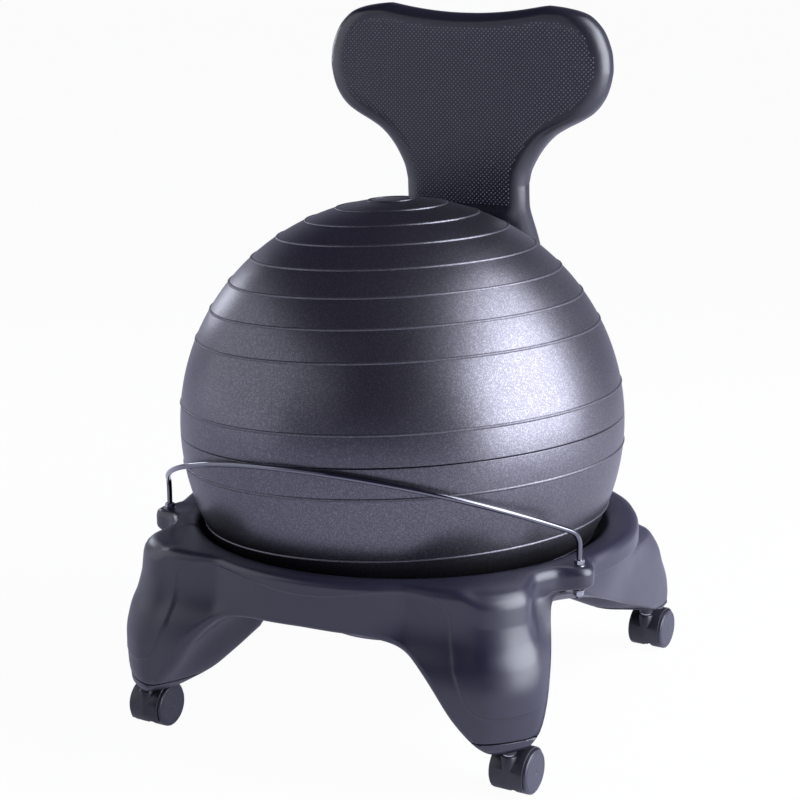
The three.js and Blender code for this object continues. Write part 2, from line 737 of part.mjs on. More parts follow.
// Backrest: front face of the spine and pad, by height
const seatBackOut = rearSkirtOut + fitGap;
function backrestFront(height) {
  const reach = ballRadius + spineBallGap;
  const rise = Math.max(0, height - ballCentreHeight);
  const aroundBall = Math.sqrt(Math.max(0, reach ** 2 - rise ** 2));
  const lean = 1 - smoothStep(spineLeanStart, spineLeanEnd, height);
  const face = aroundBall + (seatBackOut - reach) * lean;
  const spread = Math.hypot(face - padFront, spineCornerSoftness);
  const soft = (face + padFront + spread) / 2;
  return mix(soft, seatBackOut, 1 - smoothStep(spineLeanStart - spineLeanRun, spineLeanStart, height));
}

const neckHalfWidth = padHalfWidth * padWidthShares[0][1];

// The section at a height is a rounded bar; the rows near both ends are drawn in to round them off
function backrestRow(height, inset) {
  const step = fitGap;
  const slope = (backrestFront(height + step) - backrestFront(height - step)) / (2 * step);
  const length = Math.hypot(1, slope);
  const normal = [0, 1 / length, -slope / length];
  const thickness = mix(spineThickness, padThickness, smoothStep(padThickStart, padThickEnd, height));
  const rise = (height - neckHeight) / (padTop - neckHeight);
  const width = rise > 0
    ? padHalfWidth * lookUp(padWidthShares, rise)
    : mix(spineHalfWidth, neckHalfWidth, smoothStep(spineLeanEnd, neckHeight, height));
  const half = thickness / 2 - inset;
  const round = Math.min(padEdgeRound, half - fitGap);
  const flat = Math.max(0, width - inset - round);
  const reaches = [];
  for (let k = 0; k <= spineCornerSteps; k += 1) {
    const turn = (k / spineCornerSteps) * QUARTER;
    reaches.push([flat + round * Math.cos(turn), half - round + round * Math.sin(turn)]);
  }
  for (const share of padAcrossShares) reaches.push([flat * share, half]);
  const quarter = (acrossSign, deepSign) => reaches.map(([across, deep]) => {
    const x = acrossSign * across;
    const fromFront = thickness / 2 + deepSign * deep;
    const dip = padDip * Math.max(0, 1 - (x / padDipHalfWidth) ** 2)
      * smoothStep(padDipStart, padTop, height);
    return [x, backrestFront(height) + normal[1] * fromFront, height - dip + normal[2] * fromFront];
  });
  return [
    ...quarter(1, 1), ...quarter(-1, 1).reverse(),
    ...quarter(-1, -1), ...quarter(1, -1).reverse(),
  ];
}

const backrestRows = [];
const endRow = (end, round, share) => {
  const turn = share * QUARTER;
  return [end + round * (1 - Math.cos(turn)), Math.abs(round) * (1 - Math.sin(turn))];
};
for (const share of endRoundShares) backrestRows.push(endRow(spineBottom, spineEndRound, share));
for (let k = 1; k <= spineSteps; k += 1) {
  backrestRows.push([mix(spineBottom + spineEndRound, neckHeight, k / spineSteps), 0]);
}
for (const [share] of padWidthShares) {
  const height = mix(neckHeight, padTop, share);
  if (share > 0 && height < padTop - padEndRound) backrestRows.push([height, 0]);
}
for (const share of [...endRoundShares].reverse()) {
  backrestRows.push(endRow(padTop, -padEndRound, share));
}
const backrestRings = backrestRows.map(([height, inset]) => backrestRow(height, inset));
let backrest = toSolid(ringMesh(backrestRings, false));
for (const place of boltPlaces) {
  const holeEnd = rearSkirtOut + spineThickness + cutOverrun;
  const hole = rod(boltHoleRadius, rearSkirtOut - cutOverrun, holeEnd, boltSides);
  backrest = backrest.subtract(toSolid(alongY(hole, place.x, place.z)));
}
addPiece("backrest_shell", fromSolid(backrest), finishes.backrest);

// Bolts through the spine's foot into the inserts, each with a washer under its head
const washerLow = seatBackOut + spineThickness + fitGap;
const headLow = washerLow + washerThickness + fitGap;
for (const place of boltPlaces) {
  const washer = sleeve(boltHoleRadius, washerRadius, washerLow, washerLow + washerThickness, washerSides);
  const bolt = turned([
    [0, rearSkirtOut - boltReachInBase], [boltRadius, rearSkirtOut - boltReachInBase],
    [boltRadius, headLow], [boltHeadRadius, headLow], [boltHeadRadius, headLow + boltHeadHeight / 2],
    [boltHeadRadius / 2, headLow + boltHeadHeight], [0, headLow + boltHeadHeight],
  ], boltSides);
  addPiece(`backrest_washer_${place.name}`, alongY(washer, place.x, place.z), finishes.zinc);
  addPiece(`backrest_bolt_${place.name}`, alongY(bolt, place.x, place.z), finishes.zinc);
}

// The origin is on the floor, under the middle of the chair's box
const bounds = new THREE.Box3().setFromObject(chair);
chair.position.set(0, -(bounds.min.y + bounds.max.y) / 2, 0);

export default chair;
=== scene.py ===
from contextlib import contextmanager
from math import atan2, cos, degrees, hypot, pi, radians, sin, sqrt, tan

import bmesh
import bpy
import numpy as np
from mathutils import Matrix, Vector


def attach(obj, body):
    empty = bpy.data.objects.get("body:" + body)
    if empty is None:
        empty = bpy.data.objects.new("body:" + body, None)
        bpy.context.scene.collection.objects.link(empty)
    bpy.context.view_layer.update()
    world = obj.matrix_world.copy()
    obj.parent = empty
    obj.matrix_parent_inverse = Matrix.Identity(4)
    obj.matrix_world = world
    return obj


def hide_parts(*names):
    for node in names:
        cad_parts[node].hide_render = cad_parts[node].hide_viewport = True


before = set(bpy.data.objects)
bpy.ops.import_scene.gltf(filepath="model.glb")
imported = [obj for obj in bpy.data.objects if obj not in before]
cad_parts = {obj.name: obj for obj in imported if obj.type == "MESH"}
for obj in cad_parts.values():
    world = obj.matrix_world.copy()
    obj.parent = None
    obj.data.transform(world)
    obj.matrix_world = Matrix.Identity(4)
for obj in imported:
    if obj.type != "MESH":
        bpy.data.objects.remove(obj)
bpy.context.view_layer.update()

# -------- Camera
# The photographer stood in front of the chair, a little to its right, and looked slightly down
# on it with a long lens.
LENS_LENGTH, FILM_WIDTH, VIEW_END = 89.97, 36, 100
CAMERA_PLACE, CAMERA_DIP, CAMERA_TURN = (0.91324, -2.04443, 0.90210), 13.869, 24.42
scene = bpy.context.scene
scene.view_settings.view_transform = "Standard"


def placed(name, data):
    made = bpy.data.objects.new(name, data)
    scene.collection.objects.link(made)
    return made


lens = bpy.data.cameras.new("camera")
lens.lens, lens.sensor_width, lens.clip_end = LENS_LENGTH, FILM_WIDTH, VIEW_END
camera = placed("camera", lens)
camera.location = CAMERA_PLACE
camera.rotation_euler = (radians(90 - CAMERA_DIP), 0, radians(CAMERA_TURN))
scene.camera = camera


# -------- Studio
# A pale seamless floor in a dim room, a strong tall soft box at the right and weaker ones at the
# left and overhead, so that dark plastic shows bright edges and dark middles.
class Value:
    """An output of a node, with arithmetic that adds Math nodes to its tree."""

    def __init__(self, tree, socket):
        self.tree, self.socket = tree, socket

    def maths(self, operation, *others):
        return self.tree.node("Math", {"operation": operation}, self, *others)

    def __add__(self, other):
        return self.maths("ADD", other)

    def __sub__(self, other):
        return self.maths("SUBTRACT", other)

    def __rsub__(self, other):
        return self.tree.node("Math", {"operation": "SUBTRACT"}, other, self)

    def __mul__(self, other):
        return self.maths("MULTIPLY", other)

    __radd__ = __add__
    __rmul__ = __mul__


class Tree:
    """A tree of nodes, made by node() from plain values and the outputs of other nodes."""

    def feed(self, socket, value):
        if isinstance(value, Value):
            self.tree.links.new(value.socket, socket)
        else:
            socket.default_value = value

    def node(self, kind, settings=None, *values, out=0, **named):
        made = self.tree.nodes.new(kind if "Node" in kind else self.kinds + kind)
        for key, setting in (settings or {}).items():
            setattr(made, key, setting)
        for position, value in enumerate(values):
            self.feed(made.inputs[position], value)
        for label, value in named.items():
            self.feed(made.inputs[label.replace("_", " ")], value)
        return Value(self, made.outputs[out]) if made.outputs else None


class Paint(Tree):
    kinds = "ShaderNode"

    def __init__(self, name, owner=None):
        self.owner = owner or bpy.data.materials.new(name)
        self.owner.use_nodes = True
        self.tree = self.owner.node_tree
        self.tree.nodes.clear()

    def place(self):
        return self.node("TexCoord", out="Object")

    def ray(self, kind):
        return self.node("LightPath", out=f"Is {kind} Ray")

    def noise(self, scale, detail=2.0, roughness=0.5):
        return self.node("TexNoise", Vector=self.place(), Scale=scale,
                         Detail=detail, Roughness=roughness, out="Fac")

    def blend(self, share, one, other):
        """From one colour to the other. A Mix node's sockets 6, 7 and 2 are its colours."""
        made = self.tree.nodes.new("ShaderNodeMix")
        made.data_type = "RGBA"
        self.feed(made.inputs["Factor"], share)
        self.feed(made.inputs[6], one)
        self.feed(made.inputs[7], other)
        return Value(self, made.outputs[2])

    def between(self, value, low, high, bottom=0.0, top=1.0):
        return self.node("MapRange", {"interpolation_type": "SMOOTHSTEP"}, Value=value,
                         From_Min=low, From_Max=high, To_Min=bottom, To_Max=top)

    def bump(self, height, strength, depth, under=None):
        return self.node("Bump", Strength=strength, Distance=depth, Height=height,
                         **({"Normal": under} if under else {}))

    def finish(self, **sockets):
        self.node("OutputMaterial", Surface=self.node("BsdfPrincipled", **sockets))
        return self.owner


def colour(red, green, blue):
    """An sRGB colour from 0 to 255 as the linear values that sockets take."""
    linear = [c / 12.92 if c <= 0.04045 else ((c + 0.055) / 1.055) ** 2.4
              for c in (red / 255, green / 255, blue / 255)]
    return (*linear, 1.0)


# How far the floor reaches, how much of its glow gloss shows, and how much of it hides shadows
FLOOR_REACH, FLOOR_IN_GLOSS, FLOOR_GLOW = 40.0, 0.5, 0.965
WHITE, PAPER_GREY = (1, 1, 1, 1), (0.78, 0.78, 0.82, 1)
COOL_LAMP, COOL_FLOOR = (0.87, 0.91, 1.0), (0.76, 0.75, 1.0, 1)
ROOM_DIM, ROOM_IN_GLOSS = (0.13, 0.13, 0.19, 1), (0.05, 0.045, 0.09, 1)
BACKDROP, BACKDROP_EDGE, BACKDROP_TOP = (0.3, 0.3, 0.4, 1), (0.05, 0.6), (0.2, 0.5)
floor_mesh = bpy.data.meshes.new("studio_floor")
corners = [(x * FLOOR_REACH, y * FLOOR_REACH, 0) for x, y in ((-1, -1), (1, -1), (1, 1), (-1, 1))]
floor_mesh.from_pydata(corners, [], [(0, 1, 2, 3)])
floor = placed("studio_floor", floor_mesh)
paper = Paint("studio_paper")
seen = paper.ray("Camera") + paper.ray("Transmission") + paper.ray("Glossy") * FLOOR_IN_GLOSS
plain = paper.node("BsdfDiffuse", Color=PAPER_GREY)
glow = paper.node(
    "Emission", Strength=1.0, Color=paper.blend(paper.ray("Glossy"), WHITE, COOL_FLOOR))
paper.node("OutputMaterial", Surface=paper.node("MixShader", None, seen * FLOOR_GLOW, plain, glow))
floor_mesh.materials.append(paper.owner)

scene.world = bpy.data.worlds.new("studio_room")
room = Paint("studio_room", scene.world)
# A low pale backdrop stands behind the chair, so gloss shows it there and the dim room elsewhere
way = room.node("TexCoord", out="Generated")
behind = room.between(room.node("SeparateXYZ", None, way, out="Y"), *BACKDROP_EDGE) \
    * room.between(room.node("SeparateXYZ", None, way, out="Z"), *BACKDROP_TOP, 1.0, 0.0)
room_light = room.blend(room.ray("Glossy"), ROOM_DIM, room.blend(behind, ROOM_IN_GLOSS, BACKDROP))
room_light = room.blend(room.ray("Camera") + room.ray("Transmission"), room_light, WHITE)
room.node("OutputWorld", Surface=room.node("Background", Color=room_light, Strength=1.0))

# Each soft box: where it stands, how high it aims, its width, its height and its power
for side, place, aim, width, height, power in (
        ("right", (2.42, 0.08, 1.15), 0.5, 2.6, 2.2, 138),
        ("high", (1.5, 0.5, 2.2), 0.33, 1.5, 1.0, 28),
        ("left", (-2.25, -0.9, 1.1), 0.45, 3.2, 2.0, 20),
        ("front_left", (-1.12, -2.67, 1.55), 0.45, 1.15, 1.2, 2.1),
        ("far_left", (-2.12, 1.12, 0.86), 0.4, 0.5, 0.5, 4)):
    lamp = bpy.data.lights.new("soft_box_" + side, "AREA")
    lamp.shape, lamp.color = "RECTANGLE", COOL_LAMP
    lamp.size, lamp.size_y, lamp.energy = width, height, power
    holder = placed(lamp.name, lamp)
    holder.location = place
    away = Vector((0, 0, aim)) - Vector(place)
    holder.rotation_euler = away.to_track_quat("-Z", "Y").to_euler()


# -------- Base
# One blow-moulded charcoal shell: a ring that the ball sits in, four legs, and skirts arched
# between them. It is made as one closed section, turned about the ring and changed as it goes.
# Its lower ends are separate foot caps, snapped on at a fine parting line.
MM, QUARTER = 0.001, pi / 2
RING_ALONG = -26.5
BALL_RADIUS, BALL_HEIGHT = 252.6, 333.4
SEAT_RADIUS, THROAT_RADIUS, RECESS_RADIUS, RECESS_DEPTH = 200, 175, 237, 27
RIM_HEIGHT, LIP_RADIUS, LIP_ROUND, LIP_DEPTH, RING_WALL = 224, 264.5, 11, 27, 258
FRONT_SKIRT, SIDE_SKIRT, REAR_SKIRT = 262, 258, 280
SKIRT_INSET, SKIRT_ROUND, FLARE_ROUND, FOOT_ROUND, FOOT_DEPTH = 4, 5, 9, 9, 46
CORNER_POWER = 22
SEAT_GAP, THROAT_GAP, BOWL_WALL, THROAT_WALL = 0.4, 2.4, 22, 11
FRONT_LIP_DEPTH, LIP_STEP, GUSSET_TOP = 14, 3, 112
# How far from a leg's middle, along the rim, its own section, its flank and its gusset fade out
LEG_FADE, FLANK_FADE, FRONT_GUSSET_FADE = (34, 54), (28, 120), (24, 84)
FRONT_LEG = {"across": 219, "along": -215, "reach": 329, "round": 27, "foot": 52,
             "gusset": (234, 69), "under_seat": 92, "flare": 24}
REAR_LEG = {"across": 219, "along": 253, "reach": 361, "round": 13, "foot": 61,
            "gusset": (256, 71), "under_seat": 96, "flare": 97}
EAR_ACROSS, EAR_ALONG, EAR_RADIUS, EAR_TOP, EAR_ROUND, EAR_BLEND = 253, -99.9, 15, 222, 6, 26.0
# The rear of the lip swells out between two stretches of the ring, in degrees from its right
REAR_SWELL, SWELL_STARTS, SWELL_ENDS = 8, (-18, 14), (34, 58)
CAP_DEPTH, PART_GAP = 15, 1.5
# Points down the wall and on each corner, corners before and after the wall, rounds of easing,
# and how near to each other points are merged, in metres
WALL_POINTS, ARC_POINTS, END_CORNERS, EASE_ROUNDS, MERGE = 26, 6, 5, 14, 1e-6
# Points round every section, once evened out: the seat and rim, the wall, the underside
EVEN_POINTS = (30, 74, 22)
NEAR_EAR, NEAR_LEG, PANEL_END = radians(8), radians(20), radians(-42)


def eased(table):
    """A smooth curve through a table of (place, value), level where the table turns back."""
    x, y = (np.array(column, float) for column in zip(*table))
    step = np.diff(x)
    rise = np.diff(y) / step
    slope = np.concatenate([[rise[0]], np.zeros(len(x) - 2), [rise[-1]]])
    for i in range(1, len(x) - 1):
        if rise[i - 1] * rise[i] > 0:
            near, far = 2 * step[i] + step[i - 1], step[i] + 2 * step[i - 1]
            slope[i] = (near + far) / (near / rise[i - 1] + far / rise[i])

    def at(place):
        place = np.clip(place, x[0], x[-1])
        i = np.clip(np.searchsorted(x, place) - 1, 0, len(x) - 2)
        t = (place - x[i]) / step[i]
        return (y[i] * (1 + 2 * t) * (1 - t) ** 2 + y[i + 1] * t * t * (3 - 2 * t)
                + slope[i] * step[i] * t * (1 - t) ** 2 + slope[i + 1] * step[i] * t * t * (t - 1))
    return at


def ramp(low, high, value):
    t = np.clip((value - low) / (high - low), 0, 1)
    return t * t * (3 - 2 * t)


def mix(a, b, share):
    return a + (b - a) * share


front_flare = eased([
    (0, 0.4), (0.05, 0.2), (0.14, 0.04), (0.24, 0), (0.36, 0), (0.53, 0.22), (0.66, 0.6),
    (0.86, 0.92), (1, 1)])
rear_flare = eased([
    (0, 0.1), (0.05, 0.03), (0.12, 0), (0.24, 0.02), (0.35, 0.08), (0.45, 0.17), (0.52, 0.28),
    (0.62, 0.47), (0.74, 0.72), (0.84, 0.98), (1, 1)])
ring_shoulder = eased([(0, 0), (0.5, 0.05), (0.7, 0.3), (0.84, 0.9), (1, 1)])
front_arch = eased([
    (0, 1), (0.3, 0.985), (0.42, 0.955), (0.5, 0.915), (0.56, 0.85), (0.625, 0.7), (0.677, 0.54),
    (0.722, 0.38), (0.77, 0.24), (0.845, 0.07), (0.91, 0), (1, 0)])
rear_arch = eased([
    (0, 0), (0.36, 0), (0.46, 0.7), (0.55, 1), (0.64, 0.9), (0.74, 0.62), (0.84, 0.3), (0.93, 0.08),
    (1, 0)])
side_arch = eased([
    (0, 0), (0.05, 0.02), (0.095, 0.43), (0.118, 0.74), (0.15, 0.88), (0.2, 0.95), (0.27, 0.92),
    (0.39, 0.79), (0.61, 0.53), (0.77, 0.31), (0.87, 0.14), (0.95, 0.02), (1, 0)])
ARCH_TOPS = {"front": 167.5, "side": 194, "rear": 162, "rear_pad": 104}
legs = [{**spec, "name": name, "x": side * spec["across"], "y": spec["along"],
         "angle": atan2(spec["along"], side * spec["across"])}
        for name, side, spec in (("front_left", -1, FRONT_LEG), ("front_right", 1, FRONT_LEG),
                                 ("rear_right", 1, REAR_LEG), ("rear_left", -1, REAR_LEG))]
plan_faces = [(-QUARTER, FRONT_SKIRT), (0, SIDE_SKIRT), (QUARTER, REAR_SKIRT), (pi, SIDE_SKIRT),
              *((leg["angle"], leg["reach"]) for leg in legs)]
front_angle, rear_angle = legs[1]["angle"], legs[2]["angle"]


def plan_radius(angle):
    total = sum((max(0.0, cos(angle - facing)) / out) ** CORNER_POWER for facing, out in plan_faces)
    return total ** (-1 / CORNER_POWER)


def turn_between(a, b):
    return abs(atan2(sin(a - b), cos(a - b)))


def folded(angle):
    """The angle's twin on the right half of the ring, which the left half mirrors."""
    return atan2(sin(angle), abs(cos(angle)))


def skirt_height(angle):
    place = folded(angle)
    if place < front_angle:
        return mix(FRONT_LEG["foot"], ARCH_TOPS["front"],
                   front_arch((place + QUARTER) / (front_angle + QUARTER)))
    if place < rear_angle:
        share = (place - front_angle) / (rear_angle - front_angle)
        foot = mix(FRONT_LEG["foot"], REAR_LEG["foot"], share)
        return mix(foot, ARCH_TOPS["side"], side_arch(share))
    share = (QUARTER - place) / (QUARTER - rear_angle)
    arch = mix(REAR_LEG["foot"], ARCH_TOPS["rear"], rear_arch(share))
    return max(arch, mix(ARCH_TOPS["rear_pad"], REAR_LEG["foot"], ramp(0, 1, share)))


def ball_under(radius, gap):
    return BALL_HEIGHT - sqrt((BALL_RADIUS + gap) ** 2 - radius ** 2)


def with_ear(angle, lip):
    """The lip's radius where it swells smoothly out round an ear, and how much of it is ear."""
    ray = np.array([abs(cos(angle)), sin(angle)])
    inner, outer = lip - 1.0, lip + 40.0
    for _ in range(24):
        middle = (inner + outer) / 2
        ring = middle - lip
        ear = float(np.linalg.norm(ray * middle - (EAR_ACROSS, EAR_ALONG))) - EAR_RADIUS
        near = max(EAR_BLEND - abs(ring - ear), 0.0) / EAR_BLEND
        inside = min(ring, ear) - near * near * EAR_BLEND / 4 < 0
        inner, outer = (middle, outer) if inside else (inner, middle)
    return inner, ramp(6, 30, inner - lip)


def base_section(angle):
    """Corner points of the shell's section at an angle, each with how far it is rounded."""
    leg = min(legs, key=lambda one: turn_between(angle, one["angle"]))
    offset = turn_between(angle, leg["angle"]) * leg["reach"]
    weight = 1 - ramp(*LEG_FADE, offset)
    rear = leg["along"] > 0
    spread = 1 - ramp(*FLANK_FADE, offset)
    gusset = spread if rear else 1 - ramp(*FRONT_GUSSET_FADE, offset)
    front_skirt = folded(angle) < front_angle
    plan = plan_radius(angle)
    leg_lip = LIP_RADIUS if rear else max(LIP_RADIUS, plan - leg["flare"])
    skirt_lip = max(LIP_RADIUS, plan - FRONT_LEG["flare"]) if front_skirt else LIP_RADIUS
    place = degrees(folded(angle))
    swell = REAR_SWELL * ramp(*SWELL_STARTS, place) * (1 - ramp(*SWELL_ENDS, place))
    lip, ear = with_ear(angle, mix(skirt_lip, leg_lip, weight) + swell)
    shoulder = mix(mix(LIP_ROUND, leg["round"], weight), EAR_ROUND, ear)
    top = mix(RIM_HEIGHT, EAR_TOP, ear)
    bottom = skirt_height(angle)
    edge = mix(mix(SKIRT_ROUND, FLARE_ROUND, spread), FOOT_ROUND, weight)
    foot, span = leg["foot"], RIM_HEIGHT - leg["foot"]

    points = [
        (THROAT_RADIUS, ball_under(THROAT_RADIUS, THROAT_GAP), 2),
        (SEAT_RADIUS, ball_under(SEAT_RADIUS, SEAT_GAP), 6),
        (RECESS_RADIUS - 14, RIM_HEIGHT - RECESS_DEPTH - 3, 9), (RECESS_RADIUS, RIM_HEIGHT, 9),
        (lip, top, shoulder)]
    lip_low = RIM_HEIGHT - mix(
        FRONT_LIP_DEPTH if front_skirt else LIP_DEPTH, leg["round"] + 6, weight)
    wall = []
    for share in np.linspace(0, 1, WALL_POINTS):
        height = mix(lip_low, bottom + edge, share)
        rise = min(1.0, max(0.0, (height - foot) / span))
        leg_draw = leg["flare"] * (rear_flare(rise) if rear else front_flare(rise))
        if front_skirt:
            drawn = min(FRONT_LEG["flare"], max(0, plan - LIP_RADIUS)) * front_flare(rise)
            drawn = mix(drawn, plan - SKIRT_INSET - skirt_lip + 0.5, ramp(0.5, 0.93, rise))
        else:
            drawn = max(0, plan - RING_WALL) * ring_shoulder(rise)
        drawn = mix(SKIRT_INSET + drawn, leg_draw, weight) - swell * ramp(0.5, 0.9, rise)
        wall.append((plan - drawn, height))
    # Under the lip the wall steps back in, which at an ear is the ear's flat underside
    step = mix(LIP_STEP, EAR_ROUND, ear)
    if lip - wall[0][0] > 1.5:
        points += [(lip, lip_low + step * 0.6, step), (wall[0][0], lip_low - 1, 4)]
    points += [(radius, height, 0) for radius, height in wall[1:-1]]
    radius = wall[-1][0]
    foot_inner = leg["reach"] - FOOT_DEPTH
    bowl = ball_under(SEAT_RADIUS, SEAT_GAP) - BOWL_WALL
    points += [(radius, bottom, edge),
               (mix(radius - edge * 2, foot_inner, weight), bottom, mix(3, 14, spread)),
               (mix(mix(radius, SEAT_RADIUS, 0.4), leg["gusset"][0], gusset),
                mix(mix(bottom, bowl, 0.4), max(bottom, leg["gusset"][1]), gusset), 14),
               (SEAT_RADIUS, mix(bowl, leg["under_seat"], gusset), 10),
               (THROAT_RADIUS,
                mix(ball_under(THROAT_RADIUS, THROAT_GAP) - THROAT_WALL, GUSSET_TOP, gusset), 2)]
    return points


def arc_point(start, corner, end, t):
    """A point on the smooth arc that cuts a corner, at a share t of the way."""
    return (1 - t) ** 2 * start + 2 * t * (1 - t) * corner + t * t * end


def rounded(points):
    """The closed outline through corner points, with each corner cut to a smooth arc."""
    outline = []
    count = len(points)
    for i, (x, y, size) in enumerate(points):
        here = np.array([x, y])
        before = np.array(points[i - 1][:2]) - here
        after = np.array(points[(i + 1) % count][:2]) - here
        back, on = np.linalg.norm(before) + 1e-6, np.linalg.norm(after) + 1e-6
        start = here + before / back * min(size, back * 0.48)
        end = here + after / on * min(size, on * 0.48)
        outline += [arc_point(start, here, end, k / (ARC_POINTS - 1)) for k in range(ARC_POINTS)]
    return outline


def joined(name, rings, closed=True):
    """A mesh from rings of points in millimetres, with quads between them."""
    count = len(rings[0])
    verts = np.array(rings).reshape(-1, 3) * MM
    faces = []
    for i in range(len(rings) if closed else len(rings) - 1):
        here, there = i * count, (i + 1) % len(rings) * count
        for j in range(count):
            k = (j + 1) % count
            faces.append((here + j, here + k, there + k, there + j))
    mesh = bpy.data.meshes.new(name)
    mesh.from_pydata(verts.tolist(), [], faces)
    return mesh


def unpacked(mesh):
    work = bmesh.new()
    work.from_mesh(mesh)
    return work


@contextmanager
def opened(mesh):
    """A mesh opened for editing, which takes the edits at the end."""
    work = unpacked(mesh)
    yield work
    work.to_mesh(mesh)
    work.free()


def tidy_mesh(mesh, smooth=True):
    """Merges doubles, turns the faces outwards and shades them smooth."""
    with opened(mesh) as work:
        bmesh.ops.remove_doubles(work, verts=work.verts, dist=MERGE)
        bmesh.ops.recalc_face_normals(work, faces=work.faces)
        for face in work.faces:
            face.smooth = smooth
    return mesh


def piece(name, mesh, slot, *nodes, body="chair_frame", material=None, place=None):
    """A finished piece: it rides on a body and stands for CAD nodes. Its slot is not used."""
    if material:
        mesh.materials.append(material)
    if place:
        mesh.transform(place)
    made = placed(name, mesh)
    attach(made, body)
    if nodes:
        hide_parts(*nodes)


def section_angles():
    """Angles all round, in steps that are finer at an ear, the front panel and the legs."""
    angles, angle = [], -pi
    ear_angle = atan2(EAR_ALONG, EAR_ACROSS)
    while angle < pi - 1e-6:
        angles.append(angle)
        place = folded(angle)
        fine = abs(place - ear_angle) < NEAR_EAR or place < PANEL_END
        near_leg = min(abs(place - front_angle), abs(place - rear_angle)) < NEAR_LEG
        angle += radians(0.36 if fine else 0.7 if near_leg else 1.2)
    return angles


base_rings = []
for angle in section_angles():
    outline = np.array(rounded(base_section(angle)))
    count = len(outline)
    lip_end, foot_start = END_CORNERS * ARC_POINTS - 1, count - END_CORNERS * ARC_POINTS
    ring = []
    for first, last, even in zip((0, lip_end, foot_start), (lip_end, foot_start, count),
                                 EVEN_POINTS):
        part = np.array([outline[k % count] for k in range(first, last + 1)])
        run = np.concatenate([[0], np.cumsum(np.linalg.norm(np.diff(part, axis=0), axis=1))])
        for p in np.linspace(0, run[-1], even + 1)[:-1]:
            radius, height = np.interp(p, run, part[:, 0]), np.interp(p, run, part[:, 1])
            ring.append((radius * cos(angle), radius * sin(angle) + RING_ALONG, height))
    base_rings.append(ring)

# The mould's soft turns: the wall, and half as much the underside, are eased round the ring
base_rings = np.array(base_rings)
ease = np.zeros(base_rings.shape[1])
wall_end = sum(EVEN_POINTS[:2])
ease[EVEN_POINTS[0] - ARC_POINTS:wall_end], ease[wall_end:] = 1, 0.5
for _ in range(EASE_ROUNDS):
    between = (np.roll(base_rings, 1, axis=0) + np.roll(base_rings, -1, axis=0)) / 2
    base_rings += (between - base_rings) * 0.5 * ease[None, :, None]
base_mesh = tidy_mesh(joined("base_shell_skin", base_rings))

# Edge of the sunk front panel, as (across, height) from its middle down and round a leg's foot
PANEL_SINK, PANEL_BEHIND, FAR_FROM_PANEL = 1.4, -170, 60.0
panel_edge = np.array([
    (0, 207), (26, 208), (56, 212.5), (80, 216), (102, 217.5), (128, 216.5), (146, 213), (157, 206),
    (162, 194), (165, 169), (172, 143), (182, 120), (186, 110), (194, 101), (210, 96.5),
    (226, 95.3), (245, 97), (264, 102)])
panel_top, panel_side, panel_tail = panel_edge[:8], panel_edge[7:13], panel_edge[12:]


def line_distance(points, line):
    """How far each (x, z) point is from a line of points."""
    best = np.full(len(points), 1e9)
    for start, end in zip(line, line[1:]):
        along = end - start
        t = np.clip((points - start) @ along / (along @ along), 0, 1)
        best = np.minimum(best, np.linalg.norm(points - start - t[:, None] * along, axis=1))
    return best


def add_values(mesh, name, values):
    mesh.attributes.new(name, "FLOAT", "POINT").data.foreach_set("value", values)


places = np.array([vertex.co for vertex in base_mesh.vertices]) / MM
facing = np.array([vertex.normal for vertex in base_mesh.vertices])
across, height = np.abs(places[:, 0]), places[:, 2]
inside = (height < np.interp(across, *panel_top.T, right=206)) & (
    (across < np.interp(height, *panel_side[::-1, ::-1].T))
    | (height < np.interp(across, *panel_tail.T, left=0)))
groove = line_distance(np.stack([across, height], axis=1), panel_edge)
groove = np.where(places[:, 1] < PANEL_BEHIND, np.where(inside, -groove, groove), FAR_FROM_PANEL)
sunk = ramp(0, 4, -groove) * ramp(0.2, 0.5, -facing[:, 1])
base_mesh.vertices.foreach_set(
    "co", ((places + np.outer(sunk * PANEL_SINK, [0, 1, 0])) * MM).ravel())
# The base's plastic darkens along this line as painted shade in the groove
add_values(base_mesh, "panel_line", groove)


def moulded(name, tone, shade, line=None, rough=(0.31, 0.39), gloss=0.6):
    """Satin moulded plastic: fine pebbled skin, a slow drift of tone, and painted shade along
    pressed grooves.
    """
    paint, shade = Paint(name), colour(*shade)
    drift = paint.noise(9.0, 3.0)
    skin = paint.blend(drift, shade, colour(*tone))
    height = paint.noise(900.0, 2.0, 0.6) * 0.7 + paint.noise(2600.0, 1.0) * 0.3
    if line:
        gap = paint.node("Attribute", {"attribute_name": line}, out="Fac")
        # Painted shade: the colour is darkened along a pressed groove, where shade falls in it
        painted_groove_shade = paint.between(gap.maths("ABSOLUTE"), 0.1, 0.8)
        skin = paint.blend(painted_groove_shade, tuple(c * 0.3 for c in shade[:3]) + (1,), skin)
    return paint.finish(Base_Color=skin, Roughness=paint.between(drift, 0.3, 0.7, *rough),
                        Normal=paint.bump(height, 0.22, 0.0004), Specular_IOR_Level=gloss)


base_plastic = moulded("base_charcoal", (33, 31, 49), (28, 27, 44), "panel_line", gloss=0.8)


def cut_at(work, height, keep_above, wanted=lambda vertex: True):
    """Cuts the wanted part of a closed bmesh at a level and closes it with a flat face."""
    picked = [v for v in work.verts if wanted(v)]
    inside = set(picked)
    geometry = picked + [e for e in work.edges if inside.issuperset(e.verts)] + \
        [f for f in work.faces if inside.issuperset(f.verts)]
    cut = bmesh.ops.bisect_plane(
        work, geom=geometry, plane_co=(0, 0, height * MM), plane_no=(0, 0, 1),
        clear_inner=keep_above, clear_outer=not keep_above)
    rim = [item for item in cut["geom_cut"] if isinstance(item, bmesh.types.BMEdge)]
    for item in bmesh.ops.triangle_fill(work, edges=rim, use_beauty=True)["geom"]:
        if isinstance(item, bmesh.types.BMFace):
            item.smooth = False


def mesh_from(work, name):
    bmesh.ops.recalc_face_normals(work, faces=work.faces)
    made = bpy.data.meshes.new(name)
    work.to_mesh(made)
    work.free()
    return made


